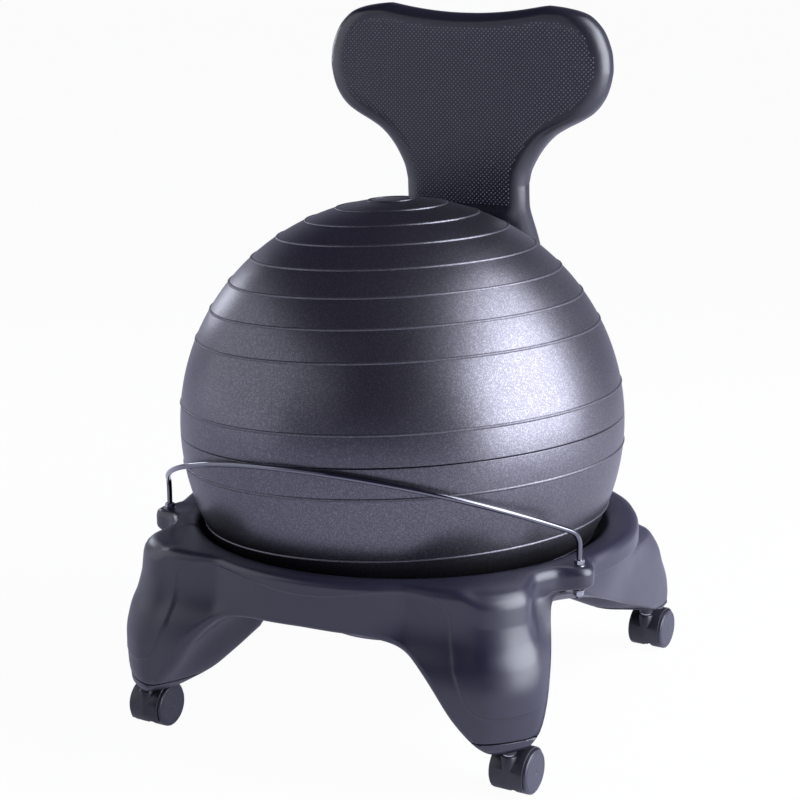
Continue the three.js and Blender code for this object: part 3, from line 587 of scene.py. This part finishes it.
def corner_of(leg):
    """Says whether a vertex is in the quarter of the base that holds a leg."""
    middle = RING_ALONG * MM
    return lambda vertex: (vertex.co.x * leg["x"] > 0 and (vertex.co.y - middle) * leg["y"] > 0)


shell = unpacked(base_mesh)
for leg in legs:
    part_height = leg["foot"] + CAP_DEPTH
    here = corner_of(leg)
    cap = unpacked(base_mesh)
    bmesh.ops.delete(cap, geom=[v for v in cap.verts if not here(v)], context="VERTS")
    cut_at(cap, part_height - PART_GAP / 2, False)
    cut_at(shell, part_height + PART_GAP / 2, True, here)
    piece(f"foot_cap_skin_{leg['name']}", mesh_from(cap, "foot_cap_skin"), "base_plastic",
          f"foot_cap_{leg['name']}", material=base_plastic)

# Flat pad with rounded edges on the rear skirt, behind the backrest's foot, joined to the shell
PAD_LOW = np.array([-81, 240 + RING_ALONG, ARCH_TOPS["rear_pad"]])
PAD_HIGH = np.array([81, REAR_SKIRT + RING_ALONG - 0.2, 207])
pad = bmesh.ops.create_cube(shell, size=1)["verts"]
bmesh.ops.scale(shell, vec=Vector((PAD_HIGH - PAD_LOW) * MM), verts=pad)
bmesh.ops.translate(shell, vec=Vector((PAD_LOW + PAD_HIGH) / 2 * MM), verts=pad)
bmesh.ops.bevel(shell, geom=list({edge for vertex in pad for edge in vertex.link_edges}),
                offset=4 * MM, segments=3, profile=0.5, affect="EDGES")
piece("base_shell_skin", mesh_from(shell, "base_shell_skin"), "base_plastic", "base_shell",
      material=base_plastic)


# -------- Ball
# Air-filled PVC ball in metallic charcoal, with raised grip ribs on both halves and two smooth
# bands beside its equator. Geometry Nodes lay one rib on the skin at each latitude. It stands
# tilted a little in its seat.
RIB_BAND, RIB_FIRST, RIB_STEP, RIB_COUNT = 7.7, 24.6, 8.4, 8
BALL_LEAN_BACK, BALL_LEAN_LEFT, EQUATOR_LIFT = 2.1, 2.9, 0.8
RIB_THICK, RIB_DEPTH = 1.9, 0.75
# Two ways over the floor, as the camera sees them: back from it, and to its right
BACK, RIGHT = Vector((-0.4134, 0.9106, 0)), Vector((0.9106, 0.4134, 0))


def moved(x, y, z):
    return Matrix.Translation((x * MM, y * MM, z * MM))


def evaluated(name, holder, *extras):
    """The plain mesh that an object's modifiers give. All the objects are taken away again."""
    graph = bpy.context.evaluated_depsgraph_get()
    graph.update()
    mesh = bpy.data.meshes.new_from_object(holder.evaluated_get(graph), depsgraph=graph)
    for extra in (holder, *extras):
        bpy.data.objects.remove(extra)
    mesh.name = name
    return mesh


class Growth(Tree):
    """A Geometry Nodes tree with named inputs, which its modifier sets."""

    kinds = "GeometryNode"

    def __init__(self, name, **inputs):
        self.tree = bpy.data.node_groups.new(name, "GeometryNodeTree")
        face = self.tree.interface
        for way in ("INPUT", "OUTPUT"):
            face.new_socket("Geometry", in_out=way, socket_type="NodeSocketGeometry")
        self.values = {}
        for label, value in inputs.items():
            kind = "NodeSocketInt" if isinstance(value, int) else "NodeSocketFloat"
            socket = face.new_socket(label, in_out="INPUT", socket_type=kind)
            self.values[socket.identifier] = value

    def given(self, label="Geometry"):
        return self.node("NodeGroupInput", out=label)

    def stored(self, label, kind="FLOAT"):
        return self.node("InputNamedAttribute", {"data_type": kind}, Name=label)

    def grown(self, name, start, result, material):
        """Runs the tree on a start mesh and returns the plain mesh that comes out."""
        whole = self.node("RealizeInstances", Geometry=result)
        self.node(
            "NodeGroupOutput", None, self.node("SetMaterial", Geometry=whole, Material=material))
        holder = placed(name, start)
        modifier = holder.modifiers.new(name, "NODES")
        modifier.node_group = self.tree
        for identifier, value in self.values.items():
            modifier[identifier] = value
        return evaluated(name, holder)


def points_mesh(name, points, edges=()):
    mesh = bpy.data.meshes.new(name)
    mesh.from_pydata([[c * MM for c in point] for point in points], list(edges), [])
    return mesh


lean = Vector((0, 0, 1)) + tan(radians(BALL_LEAN_BACK)) * BACK \
    - tan(radians(BALL_LEAN_LEFT)) * RIGHT
ball_turn = lean.to_track_quat("Z", "Y").to_matrix().to_4x4()
ball_place = moved(0, RING_ALONG, BALL_HEIGHT)
latitudes = [RIB_BAND] + [RIB_FIRST + RIB_STEP * k for k in range(RIB_COUNT)]
latitudes = [radians(EQUATOR_LIFT + side * latitude) for latitude in latitudes for side in (1, -1)]
rib_radius = BALL_RADIUS - RIB_DEPTH
rib_starts = points_mesh("ball_rib_places",
                         [(0, 0, rib_radius * sin(latitude)) for latitude in latitudes])
add_values(rib_starts, "reach", [rib_radius * cos(latitude) * MM for latitude in latitudes])

skin = Paint("ball_metallic_pvc")
place = skin.place()
drift = skin.noise(7.0, 2.0)
pebbles = skin.node(
    "TexVoronoi", {"feature": "SMOOTH_F1"}, Vector=place, Scale=620.0, Smoothness=0.6,
    out="Distance")
grain = skin.noise(1100.0, 2.0, 0.7)
glitter = skin.node("TexVoronoi", {"feature": "F1"}, Vector=place, Scale=1150.0, out="Color")
flake = skin.between(skin.node("SeparateColor", None, glitter, out="Red"), 0.5, 1.0)
offset = skin.node("VectorMath", {"operation": "SUBTRACT"}, place, tuple(ball_place.translation))
height = skin.node(
    "VectorMath", {"operation": "DOT_PRODUCT"}, offset, tuple(lean.normalized()), out="Value")
from_middle = skin.node("VectorMath", {"operation": "LENGTH"}, offset, out="Value")
raised = skin.between(from_middle, (BALL_RADIUS + 0.1) * MM, (BALL_RADIUS + 0.7) * MM)
from_seam = (height - BALL_RADIUS * MM * sin(radians(EQUATOR_LIFT))).maths("ABSOLUTE")
seam = skin.between(from_seam, 0.0003, 0.0012)
tone = skin.blend(drift, colour(95, 93, 100), colour(103, 101, 107))
tone = skin.blend(flake, tone, colour(126, 125, 131))
tone = skin.blend(seam, colour(18, 17, 26), tone)
ball_skin = skin.finish(
    Base_Color=tone, Metallic=skin.between(flake, 0, 1, 0.95, 1.0),
    Roughness=skin.between(drift, 0.3, 0.7, 0.33, 0.38) + raised * 0.1, Specular_IOR_Level=0.4,
    Normal=skin.bump(seam, 0.6, 0.0006, skin.bump(pebbles * 0.6 + grain * 0.4, 0.36, 0.0003)))

ribs = Growth("ball_ribs", rib_thickness=RIB_THICK * MM, skin_radius=BALL_RADIUS * MM)
loop = ribs.node("CurvePrimitiveCircle", Resolution=200, Radius=1.0)
loops = ribs.node(
    "InstanceOnPoints", Points=ribs.given(), Instance=loop, Scale=ribs.stored("reach"))
loops = ribs.node("RealizeInstances", Geometry=loops)
loops = ribs.node("SetCurveRadius", Curve=loops, Radius=1.0)
bead = ribs.node("CurvePrimitiveCircle", Resolution=10, Radius=ribs.given("rib_thickness"))
beads = ribs.node("CurveToMesh", Curve=loops, Profile_Curve=bead)
sphere = ribs.node("MeshUVSphere", Segments=200, Rings=120, Radius=ribs.given("skin_radius"))
whole = ribs.node("JoinGeometry", Geometry=beads)
ribs.feed(whole.socket.node.inputs["Geometry"], sphere)
smooth = ribs.node("SetShadeSmooth", Geometry=whole, Shade_Smooth=True)
piece("ball_skin", ribs.grown("ball_skin", rib_starts, smooth, ball_skin), "ball_skin", "ball",
      body="ball", place=ball_place @ ball_turn)


# -------- Valve plug
# White push-in plug of soft plastic, moulded in one: a domed flange on a short ribbed shank,
# which is pressed into the hole under the ball.
TURN = 2 * pi


def turned(name, profile, segments, matrix=Matrix.Identity(4), sharp=35):
    """A mesh turned about Z and put in place. Its profile, in millimetres, is a list of (radius,
    height) points or a function that gives them for an angle."""
    rings = []
    for k in range(segments):
        angle = TURN * k / segments
        rings.append([(r * cos(angle), r * sin(angle), h)
                      for r, h in (profile(angle) if callable(profile) else profile)])
    mesh = tidy_mesh(joined(name, rings))
    mesh.transform(matrix)
    return sharpened(mesh, sharp)


def sharpened(mesh, angle):
    """Keeps edges that turn by more than an angle crisp in smooth shading."""
    with opened(mesh) as work:
        for edge in work.edges:
            if len(edge.link_faces) == 2:
                edge.smooth = edge.calc_face_angle(0) < radians(angle)
    return mesh


white = Paint("plug_white")
plug_white = white.finish(
    Base_Color=white.blend(white.noise(120.0), colour(196, 196, 192), colour(210, 210, 206)),
    Roughness=0.5, Normal=white.bump(white.noise(900.0), 0.15, 0.0002))
plug_top = BALL_HEIGHT - BALL_RADIUS - 0.3
plug_profile = [(0, -2.2), (5, -2.15), (7.6, -1.8), (8.8, -1.2), (9, -0.6), (8.7, 0), (4.6, 0)]
for step in range(4):
    plug_profile += [(4.6, 1.5 + step * 2.6), (4.2, 2.3 + step * 2.6), (4.6, 3.2 + step * 2.6)]
plug_profile += [(4.3, 12), (0, 12)]
plug_mesh = turned("valve_plug_skin", plug_profile, 40, moved(0, RING_ALONG, plug_top))
piece("valve_plug_skin", plug_mesh, "plug_plastic", "valve_plug", body="valve_plug",
      material=plug_white)


# -------- Support bar
# One bright chromed steel wire, bent up from the ears and round the front of the ball in a
# sloping plane. Geometry Nodes sweep a round section along its path.
BAR_RADIUS, BAR_ACROSS, BAR_RISE, BAR_BEND = 3, 251.4, 257, 14
BAR_REACH, BAR_FRONT, BAR_LOW = 258, 338, 186.5


def bar_path():
    corner_angle = atan2(BAR_ACROSS, -EAR_ALONG)
    corner_reach = hypot(BAR_ACROSS, EAR_ALONG)
    slope = (BAR_FRONT - BAR_RISE) / (BAR_REACH + EAR_ALONG)

    def on_arc(share):
        reach = mix(BAR_REACH, corner_reach, share * share)
        x, y = reach * sin(share * corner_angle), -reach * cos(share * corner_angle)
        return Vector((x, y, BAR_RISE + slope * (EAR_ALONG - y)))

    corner = on_arc(1)
    turn_share = 1 - BAR_BEND / (corner_reach * corner_angle)
    start, end = on_arc(turn_share), Vector((corner.x, corner.y, BAR_RISE - BAR_BEND))
    half = [on_arc(turn_share * k / 60) for k in range(60)]
    half += [arc_point(start, corner, end, k / 12) for k in range(13)]
    half += [Vector((corner.x, corner.y, z)) for z in (230, 214, 200, BAR_LOW)]
    whole = [Vector((-p.x, p.y, p.z)) for p in reversed(half[1:])] + half
    return [(p.x, p.y + RING_ALONG, p.z) for p in whole]


def metal(name, shade, tone, haze, rough, grain, relief):
    """Bright metal: a hazy drift of tone and gloss over a fine grain."""
    paint = Paint(name)
    drift = paint.noise(*haze)
    return paint.finish(
        Base_Color=paint.blend(drift, colour(*shade), colour(*tone)), Metallic=1.0,
        Roughness=paint.between(drift, 0.3, 0.7, *rough),
        Normal=paint.bump(paint.noise(grain), relief, 0.0002))


bar_chrome = metal(
    "bar_chrome", (112, 112, 119), (126, 126, 133), (60.0, 3.0), (0.07, 0.14), 400.0, 0.04)
path = bar_path()
sweep = Growth("swept_wire", wire_radius=BAR_RADIUS * MM)
rail = sweep.node("MeshToCurve", Mesh=sweep.given())
round_section = sweep.node("CurvePrimitiveCircle", Resolution=20, Radius=sweep.given("wire_radius"))
wire = sweep.node("CurveToMesh", Curve=rail, Profile_Curve=round_section, Fill_Caps=True)
wire = sweep.node("SetShadeSmooth", Geometry=wire, Shade_Smooth=True)
bar_mesh = sweep.grown("support_bar_wire", points_mesh(
    "bar_path", path, [(k, k + 1) for k in range(len(path) - 1)]), wire, bar_chrome)
piece("support_bar_wire", sharpened(bar_mesh, 50), "bar_chrome", "support_bar")


# -------- Bar nuts and washers
# Zinc-plated nuts clamp the bar's threaded ends to the ears, above and below, each on a washer.
# Geometry Nodes copy each left-hand fastener to the right.
NUT_HALF_WIDTH, NUT_HEIGHT, NUT_BORE = 5, 5, 3.2
zinc = metal(
    "zinc_plate", (160, 162, 168), (186, 187, 192), (220.0, 3.0, 0.6), (0.22, 0.36), 1500.0, 0.08)


def hexagon(half_width, angle):
    """The radius at an angle of a hexagon, given half its width across the flats."""
    return half_width / cos(abs((angle + TURN / 12) % (TURN / 6) - TURN / 12))


def nut_profile(angle):
    """The section at an angle of a hexagon nut with turned chamfers, standing on Z 0."""
    across, face = hexagon(NUT_HALF_WIDTH, angle), NUT_HALF_WIDTH * 0.97
    chamfer = max(0.0, across - NUT_HALF_WIDTH) * 0.55 + 0.15
    return [(NUT_BORE, 0), (face, 0), (across, chamfer), (across, NUT_HEIGHT - chamfer),
            (face, NUT_HEIGHT), (NUT_BORE, NUT_HEIGHT)]


def washer_mesh(outer, inner, thick):
    return turned("washer", [(inner, 0), (outer - 0.3, 0), (outer, 0.3), (outer, thick - 0.3),
                             (outer - 0.3, thick), (inner, thick)], 48)


def copied(name, mesh, first, rows, material):
    """Copies of a mesh in rows, made by Geometry Nodes. A row is a step and a count."""
    maker = Growth("rows_of_" + name, **{f"copies_{k}": row[1] for k, row in enumerate(rows)})
    shape = maker.given()
    for k, (step, _) in enumerate(rows):
        line = maker.node("MeshLine", Count=maker.given(f"copies_{k}"),
                          Start_Location=[0 if k else c * MM for c in first],
                          Offset=[c * MM for c in step])
        shape = maker.node("InstanceOnPoints", Points=line, Instance=shape)
        shape = maker.node("RealizeInstances", Geometry=shape)
    return maker.grown(name, mesh, shape, material)


nut, washer = turned("nut", nut_profile, 48, sharp=25), washer_mesh(6.6, 3.3, 1.4)
for name, mesh, low in (("bar_washer_upper", washer, 222.3), ("bar_nut_upper", nut, 224.0),
                        ("bar_washer_lower", washer, 194.3), ("bar_nut_lower", nut, 189.0)):
    both = copied(name + "s", mesh, (-BAR_ACROSS, EAR_ALONG + RING_ALONG, low),
                  [((2 * BAR_ACROSS, 0, 0), 2)], zinc)
    piece(name + "s", both, "zinc_steel", name + "_left", name + "_right")


# -------- Backrest
# Blow-moulded charcoal shell, bolted to the rear skirt. Its spine bends round behind the ball and
# widens into a two-lobed pad, whose soft rolled border frames a slightly sunk panel of fine dots.
PAD_FRONT, PAD_TOP, PAD_HALF_WIDTH = 168, 792, 178
PAD_DIP, DIP_HALF_WIDTH, DIP_START = 11, 100, 732
NECK_HEIGHT, SPINE_HALF_WIDTH, SPINE_BOTTOM = 582, 77, 96
SPINE_THICK, PAD_THICK, BACK_EDGE_ROUND = 30, 38, 14
TOP_ROUND, TOP_ROLL, BOTTOM_ROUND, BOTTOM_ROLL = 13, 18.4, 8, 14.4
PANEL_BORDER, PANEL_LOW, PANEL_DEPTH, OUTLINE_LOW = 14, 552, 0.9, 420
FRONT_ROLL, NECK_SHARE, THICKENS = 25, 0.43, (400, 500)
DOT_PITCH, DOT_BORDER, DOT_ROWS, DOT_SHEET_PLACE = 3.8, 17, 120, (0, -0.5, 0.67)
SEAT_BACK = REAR_SKIRT + 0.3
# Heights where the spine starts to leave the skirt, has left it, and ends its lean to the pad;
# its gap to the ball; and how soft its turns are, to the pad (a length) and below it (an area)
SPINE_BENDS, BALL_CLEAR, PAD_SOFT, ROUND_SOFT = (232, 292, 422), 9, 22, 8000
# Points round a section: on each rounded edge, across the back, across the front
EDGE_POINTS, BACK_POINTS, FRONT_POINTS = 11, 40, 150
pad_width = eased([
    (0, NECK_SHARE), (0.07, 0.447), (0.143, 0.486), (0.214, 0.54), (0.286, 0.622), (0.33, 0.705),
    (0.367, 0.79), (0.41, 0.87), (0.46, 0.925), (0.524, 0.967), (0.6, 0.992), (0.652, 1),
    (0.73, 0.993), (0.793, 0.972), (0.86, 0.935), (0.905, 0.892), (0.945, 0.835), (0.972, 0.77),
    (0.99, 0.69), (1, 0.6)])


def backrest_front(height):
    reach = BALL_RADIUS + BALL_CLEAR
    left = reach ** 2 - max(0.0, height - BALL_HEIGHT) ** 2
    around = sqrt((left + hypot(left, ROUND_SOFT)) / 2)
    face = around + (SEAT_BACK - reach) * (1 - ramp(*SPINE_BENDS[1:], height))
    soft = (face + PAD_FRONT + hypot(face - PAD_FRONT, PAD_SOFT)) / 2
    return mix(soft, SEAT_BACK, 1 - ramp(*SPINE_BENDS[:2], height))


def backrest_half_width(height):
    if height < NECK_HEIGHT:
        return mix(SPINE_HALF_WIDTH, PAD_HALF_WIDTH * NECK_SHARE,
                   ramp(SPINE_BENDS[2], NECK_HEIGHT, height))
    return PAD_HALF_WIDTH * pad_width((height - NECK_HEIGHT) / (PAD_TOP - NECK_HEIGHT))


def pad_dip(across, height):
    return PAD_DIP * np.maximum(0, 1 - (across / DIP_HALF_WIDTH) ** 2) \
        * ramp(DIP_START, PAD_TOP, height)


def backrest_row(height, inset):
    slope = (backrest_front(height + 0.3) - backrest_front(height - 0.3)) / 0.6
    normal = np.array([1, -slope]) / hypot(1, slope)
    thick = mix(SPINE_THICK, PAD_THICK, ramp(*THICKENS, height))
    half = thick / 2 - inset
    bend = min(BACK_EDGE_ROUND, half - 0.1)
    edge = backrest_half_width(height) - inset
    flat, roll = max(0, edge - bend), min(FRONT_ROLL, max(1, edge - 1))
    turns = np.linspace(0, QUARTER, EDGE_POINTS)
    side, deep = flat + bend * np.cos(turns), half - bend + bend * np.sin(turns)
    rolled, sunk_in = edge - roll + roll * np.cos(turns), half * np.sin(turns)
    back = np.linspace(flat, -flat, BACK_POINTS + 2)[1:-1]
    front = np.linspace(roll - edge, edge - roll, FRONT_POINTS + 2)[1:-1]
    across = np.concatenate([side, back, -side[::-1], -rolled, front, rolled[::-1]])
    depth = np.concatenate([deep, np.full(BACK_POINTS, half), deep[::-1], -sunk_in,
                            np.full(FRONT_POINTS, -half), -sunk_in[::-1]]) + thick / 2
    return np.stack([across, backrest_front(height) + normal[0] * depth + RING_ALONG,
                     height - pad_dip(across, height) + normal[1] * depth], axis=1)


# Each section's height and how far it is drawn in: the bottom's roll, the spine, the pad, the top
rows = [(SPINE_BOTTOM + BOTTOM_ROUND * (1 - cos(t)), BOTTOM_ROLL * (1 - sin(t)))
        for t in np.linspace(0, QUARTER, 8)]
rows += [(h, 0) for h in np.linspace(SPINE_BOTTOM + BOTTOM_ROUND, PANEL_LOW - 6, 100)[1:]]
rows += [(h, 0) for h in np.linspace(PANEL_LOW - 6, PAD_TOP - TOP_ROUND, 132)[1:]]
rows += [(PAD_TOP - TOP_ROUND * (1 - cos(t)), TOP_ROLL * (1 - sin(t)))
         for t in np.linspace(QUARTER, 0, 14)[1:]]
back_rings = np.array([backrest_row(height, inset) for height, inset in rows])
ring_size, front_size = back_rings.shape[1], FRONT_POINTS + 2 * EDGE_POINTS
outline = [(backrest_half_width(h) - inset, h - pad_dip(backrest_half_width(h) - inset, h))
           for h, inset in rows if h > OUTLINE_LOW]
top_edge = [(x, PAD_TOP - pad_dip(x, PAD_TOP)) for x in np.linspace(outline[-1][0], 0, 30)[1:]]
half_outline = np.array(outline + top_edge, float)
flat_places = back_rings.reshape(-1, 3)[:, [0, 2]]
flat_places[:, 0] = np.abs(flat_places[:, 0])
edge_distance = line_distance(flat_places, half_outline)
on_front = np.tile(np.arange(ring_size) > ring_size - front_size, len(rows))
share = ramp(PANEL_BORDER, PANEL_BORDER + 9, edge_distance) \
    * ramp(PANEL_LOW - 4, PANEL_LOW + 4, flat_places[:, 1]) * on_front
back_points = back_rings.reshape(-1, 3) + np.outer(share * PANEL_DEPTH, [0, 1, 0])
back_mesh = joined("backrest_shell_skin", back_points.reshape(back_rings.shape), False)
dotted = (edge_distance > DOT_BORDER) & (flat_places[:, 1] > PANEL_LOW + 5) & on_front
add_values(back_mesh, "dotted", dotted.astype(float))
work = unpacked(back_mesh)
for end_ring in (work.verts[:ring_size], work.verts[-ring_size:]):
    rim = [edge for edge in work.edges if edge.is_boundary and set(edge.verts) <= set(end_ring)]
    bmesh.ops.triangle_fill(work, edges=rim, use_beauty=True)
for face in work.faces:
    face.smooth = True
back_mesh = mesh_from(work, "backrest_shell_skin")
back_mesh.materials.append(
    moulded("backrest_charcoal", (27, 26, 37), (23, 22, 32), rough=(0.3, 0.36), gloss=0.85))

dots = Growth(
    "grip_dots", sheet_size=DOT_ROWS * DOT_PITCH * MM, dot_width=0.95 * MM, dot_height=0.42 * MM)
grid = dots.node("MeshGrid", None, dots.given("sheet_size"), dots.given("sheet_size"),
                 DOT_ROWS + 1, DOT_ROWS + 1)
grid = dots.node("Transform", Geometry=grid, Rotation=(0, 0, radians(45)))
grid = dots.node("Transform", Geometry=grid, Rotation=(QUARTER, 0, 0), Translation=DOT_SHEET_PLACE)
# The sheet of points stands in front, and each point is cast back on to the shell
sight = dots.node(
    "Raycast", Target_Geometry=dots.given(), Attribute=dots.stored("dotted"),
    Ray_Direction=(0, 1, 0), Ray_Length=2.0)
for label, kind, found in (("share", "FLOAT", "Attribute"),
                           ("facing", "FLOAT_VECTOR", "Hit Normal"),
                           ("spot", "FLOAT_VECTOR", "Hit Position")):
    grid = dots.node("StoreNamedAttribute", {"data_type": kind}, Geometry=grid,
                     Name=label, Value=Value(dots, sight.socket.node.outputs[found]))
missed = dots.node("FunctionNodeCompare", {"data_type": "FLOAT", "operation": "LESS_THAN"},
                   dots.stored("share"), 0.5)
spots = dots.node("DeleteGeometry", {"domain": "POINT"}, Geometry=grid, Selection=missed)
spots = dots.node("SetPosition", Geometry=spots, Position=dots.stored("spot", "FLOAT_VECTOR"))
dot = dots.node("MeshCone", Vertices=6, Radius_Top=0.45 * MM,
                Radius_Bottom=dots.given("dot_width"), Depth=dots.given("dot_height"))
turn = dots.node("FunctionNodeAlignRotationToVector", {"axis": "Z"},
                 Vector=dots.stored("facing", "FLOAT_VECTOR"))
dotting = dots.node("InstanceOnPoints", Points=spots, Instance=dot, Rotation=turn)
# The dots are the backrest's own plastic, coloured much lighter as a painted highlight where they
# catch the light
dots_painted_highlight = moulded("backrest_dots_painted_highlight", (92, 90, 106), (84, 82, 97))
dot_mesh = dots.grown("backrest_grip_dots", back_mesh.copy(), dotting, dots_painted_highlight)
piece("backrest_shell_skin", back_mesh, "backrest_plastic", "backrest_shell")
piece("backrest_grip_dots", dot_mesh, "backrest_plastic")


# -------- Backrest bolts
# Four zinc-plated button-head screws with hexagon sockets pass through the spine's foot, each
# over a plain washer, into brass inserts moulded in the rear skirt.
BOLT_ACROSS, BOLT_LOW, BOLT_HIGH, WASHER_BACK, HEAD_BACK = 45, 128, 184, 284.1, 286.0


def head_profile(angle):
    """The section at an angle of a button head, with its hexagon socket."""
    socket = hexagon(2.5, angle)
    return [(0, 0), (7.4, 0), (7.4, 1.4), (7.0, 2.8), (6.1, 4.0), (4.8, 4.8), (3.6, 5),
            (socket, 5), (socket, 2.2), (0, 1.6)]


bolt_rows = [((2 * BOLT_ACROSS, 0, 0), 2), ((0, 0, BOLT_HIGH - BOLT_LOW), 2)]
bolt_names = ("lower_left", "lower_right", "upper_left", "upper_right")
for name, mesh, back in (
        ("backrest_bolt", turned("screw_head", head_profile, 48, sharp=40), HEAD_BACK),
        ("backrest_washer", washer_mesh(9.5, 4.4, 1.6), WASHER_BACK)):
    mesh.transform(Matrix.Rotation(-QUARTER, 4, "X"))
    four = copied(name + "s", mesh, (-BOLT_ACROSS, back, BOLT_LOW), bolt_rows, zinc)
    piece(name + "s", four, "zinc_steel", *(f"{name}_{spot}" for spot in bolt_names))


def dressed_node(node, material):
    """Gives a CAD node, which stays as it is, a material of its own."""
    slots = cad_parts[node].data.materials
    slots.clear()
    slots.append(material)


brass = metal(
    "insert_brass", (176, 142, 78), (204, 172, 104), (300.0, 3.0), (0.25, 0.4), 1400.0, 0.1)
for spot in bolt_names:
    dressed_node(f"threaded_insert_{spot}", brass)


# -------- Casters
# Twin-wheel furniture casters in black plastic. A hood covers the front and top of both wheels,
# which turn on a steel axle, and its neck holds a steel stem that is pressed into the leg.
WHEEL_RADIUS, TRAIL = 24, 18.5
YAW = radians(-5.5)
HOOD_RADIUS, HOOD_BORE, HOOD_HALF, WEB_HALF, NECK_RADIUS = 26.6, 24.9, 18.5, 4.5, 8.5
HOOD_FLOOR, HOOD_FRONT_DROP = 8, radians(33)
COLLAR_LOW, STEM_LOW, STEM_TOP, BEYOND = 46.4, 40.4, 94, 60
ABOUT_AXLE = moved(0, TRAIL, WHEEL_RADIUS) @ Matrix.Rotation(QUARTER, 4, "Y")


def combined(name, first, others):
    """One solid mesh from a first and others that are added to it or cut from it in turn."""
    whole, tools = placed(name, first), []
    for operation, mesh in others:
        tools.append(placed(name + "_tool", mesh))
        modifier = whole.modifiers.new(operation, "BOOLEAN")
        modifier.operation, modifier.object, modifier.solver = operation, tools[-1], "EXACT"
    return evaluated(name, whole, *tools)


def drum(radius, low, high, edge=0.01):
    """A disc about the axle, with softened edges."""
    soft = edge * 0.3
    profile = [
        (0, low), (radius - edge, low), (radius - soft, low + soft), (radius, low + edge),
        (radius, high - edge), (radius - soft, high - soft), (radius - edge, high), (0, high)]
    return turned("drum", profile, 72, ABOUT_AXLE)


def prism(outline, low, high):
    """A flat shape in the plane across the axle, drawn out sideways."""
    mesh = joined("prism", [[(x, y, z) for y, z in outline] for x in (low, high)], False)
    with opened(mesh) as work:
        bmesh.ops.holes_fill(work, edges=[edge for edge in work.edges if edge.is_boundary])
    return tidy_mesh(mesh, False)


under = [
    (TRAIL, WHEEL_RADIUS), (TRAIL + BEYOND, WHEEL_RADIUS), (TRAIL + BEYOND, -BEYOND),
    (-BEYOND, -BEYOND),
    (TRAIL - 80 * cos(HOOD_FRONT_DROP), WHEEL_RADIUS - 80 * sin(HOOD_FRONT_DROP))]
neck = turned("hood_neck", [(0, 18), (NECK_RADIUS, 18), (NECK_RADIUS, 44.6),
                            (NECK_RADIUS - 0.5, 45.7), (NECK_RADIUS - 1.5, 46.1), (0, 46.1)], 48)
cuts = [("UNION", neck)]
for side in (-1, 1):
    low, high = sorted((side * WEB_HALF, side * (HOOD_HALF + 3)))
    cuts += [("DIFFERENCE", drum(HOOD_BORE, low, high)), ("DIFFERENCE", prism(under, low, high))]
below = [(-BEYOND, -BEYOND), (90, -BEYOND), (90, HOOD_FLOOR), (-BEYOND, HOOD_FLOOR)]
cuts.append(("DIFFERENCE", prism(below, -40, 40)))
hood_mesh = combined("caster_hood", drum(HOOD_RADIUS, -HOOD_HALF, HOOD_HALF, 0.8), cuts)
sharpened(hood_mesh, 32)
for polygon in hood_mesh.polygons:
    polygon.use_smooth = True
wheel_profile = [
    (0, 19), (3.3, 19), (3.3, 5), (7, 5), (8, 9), (19, 9), (20, 5), (22.6, 5), (23.6, 5.5),
    (24, 6.6), (24, 19.6), (23.6, 21), (22.8, 21.6), (21.9, 22), (21.0, 22.1), (20.8, 21.85),
    (20.5, 21.85), (20.3, 22.1), (3.2, 22.3), (2.8, 22.0), (0, 22.0)]
stem_profile = [
    (0, STEM_LOW), (5.2, STEM_LOW), (5.2, COLLAR_LOW), (6.3, COLLAR_LOW), (6.6, COLLAR_LOW + 0.4),
    (6.6, COLLAR_LOW + 1.6), (6.3, COLLAR_LOW + 2), (5.2, COLLAR_LOW + 2), (5.2, 86), (5.6, 87),
    (5.6, 89), (5.0, 90), (4.2, 93.2), (3.6, STEM_TOP), (0, STEM_TOP)]
stem_mesh = turned("caster_stem", stem_profile, 40)
hood_plastic = moulded("caster_black", (36, 35, 43), (31, 30, 38))
wheel_plastic = moulded("wheel_black", (52, 52, 64), (45, 45, 56))
for leg in legs:
    name = leg["name"]
    spot = moved(leg["x"], leg["y"] + RING_ALONG, 0)
    stand = spot @ Matrix.Rotation(YAW, 4, "Z")
    flange_top = leg["foot"] + 0.2
    socket_mesh = turned("socket", [(5.5, 48.7), (8.0, 48.7), (8.3, 49), (8.3, flange_top),
                                    (7.1, flange_top), (7.1, 97), (5.5, 97)], 40)
    for part, mesh, slot, body, material, place in (
            ("caster_hood", hood_mesh.copy(), "caster_plastic", "caster_" + name, hood_plastic,
             stand),
            ("caster_stem", stem_mesh.copy(), "zinc_steel", "caster_" + name, zinc, stand),
            ("caster_socket", socket_mesh, "caster_plastic", "chair_frame", hood_plastic, spot)):
        piece(f"{part}_skin_{name}", mesh, slot, f"{part}_{name}", body=body, material=material,
              place=place)
    dressed_node(f"caster_axle_{name}", zinc)
    for side_name, side in (("left", -1), ("right", 1)):
        wheel = turned("wheel", [(r, side * x) for r, x in wheel_profile], 72, ABOUT_AXLE, 24)
        which = f"{name}_{side_name}"
        piece(f"wheel_skin_{which}", wheel, "wheel_plastic", f"caster_wheel_{which}",
              body=f"wheel_{which}", material=wheel_plastic, place=stand)
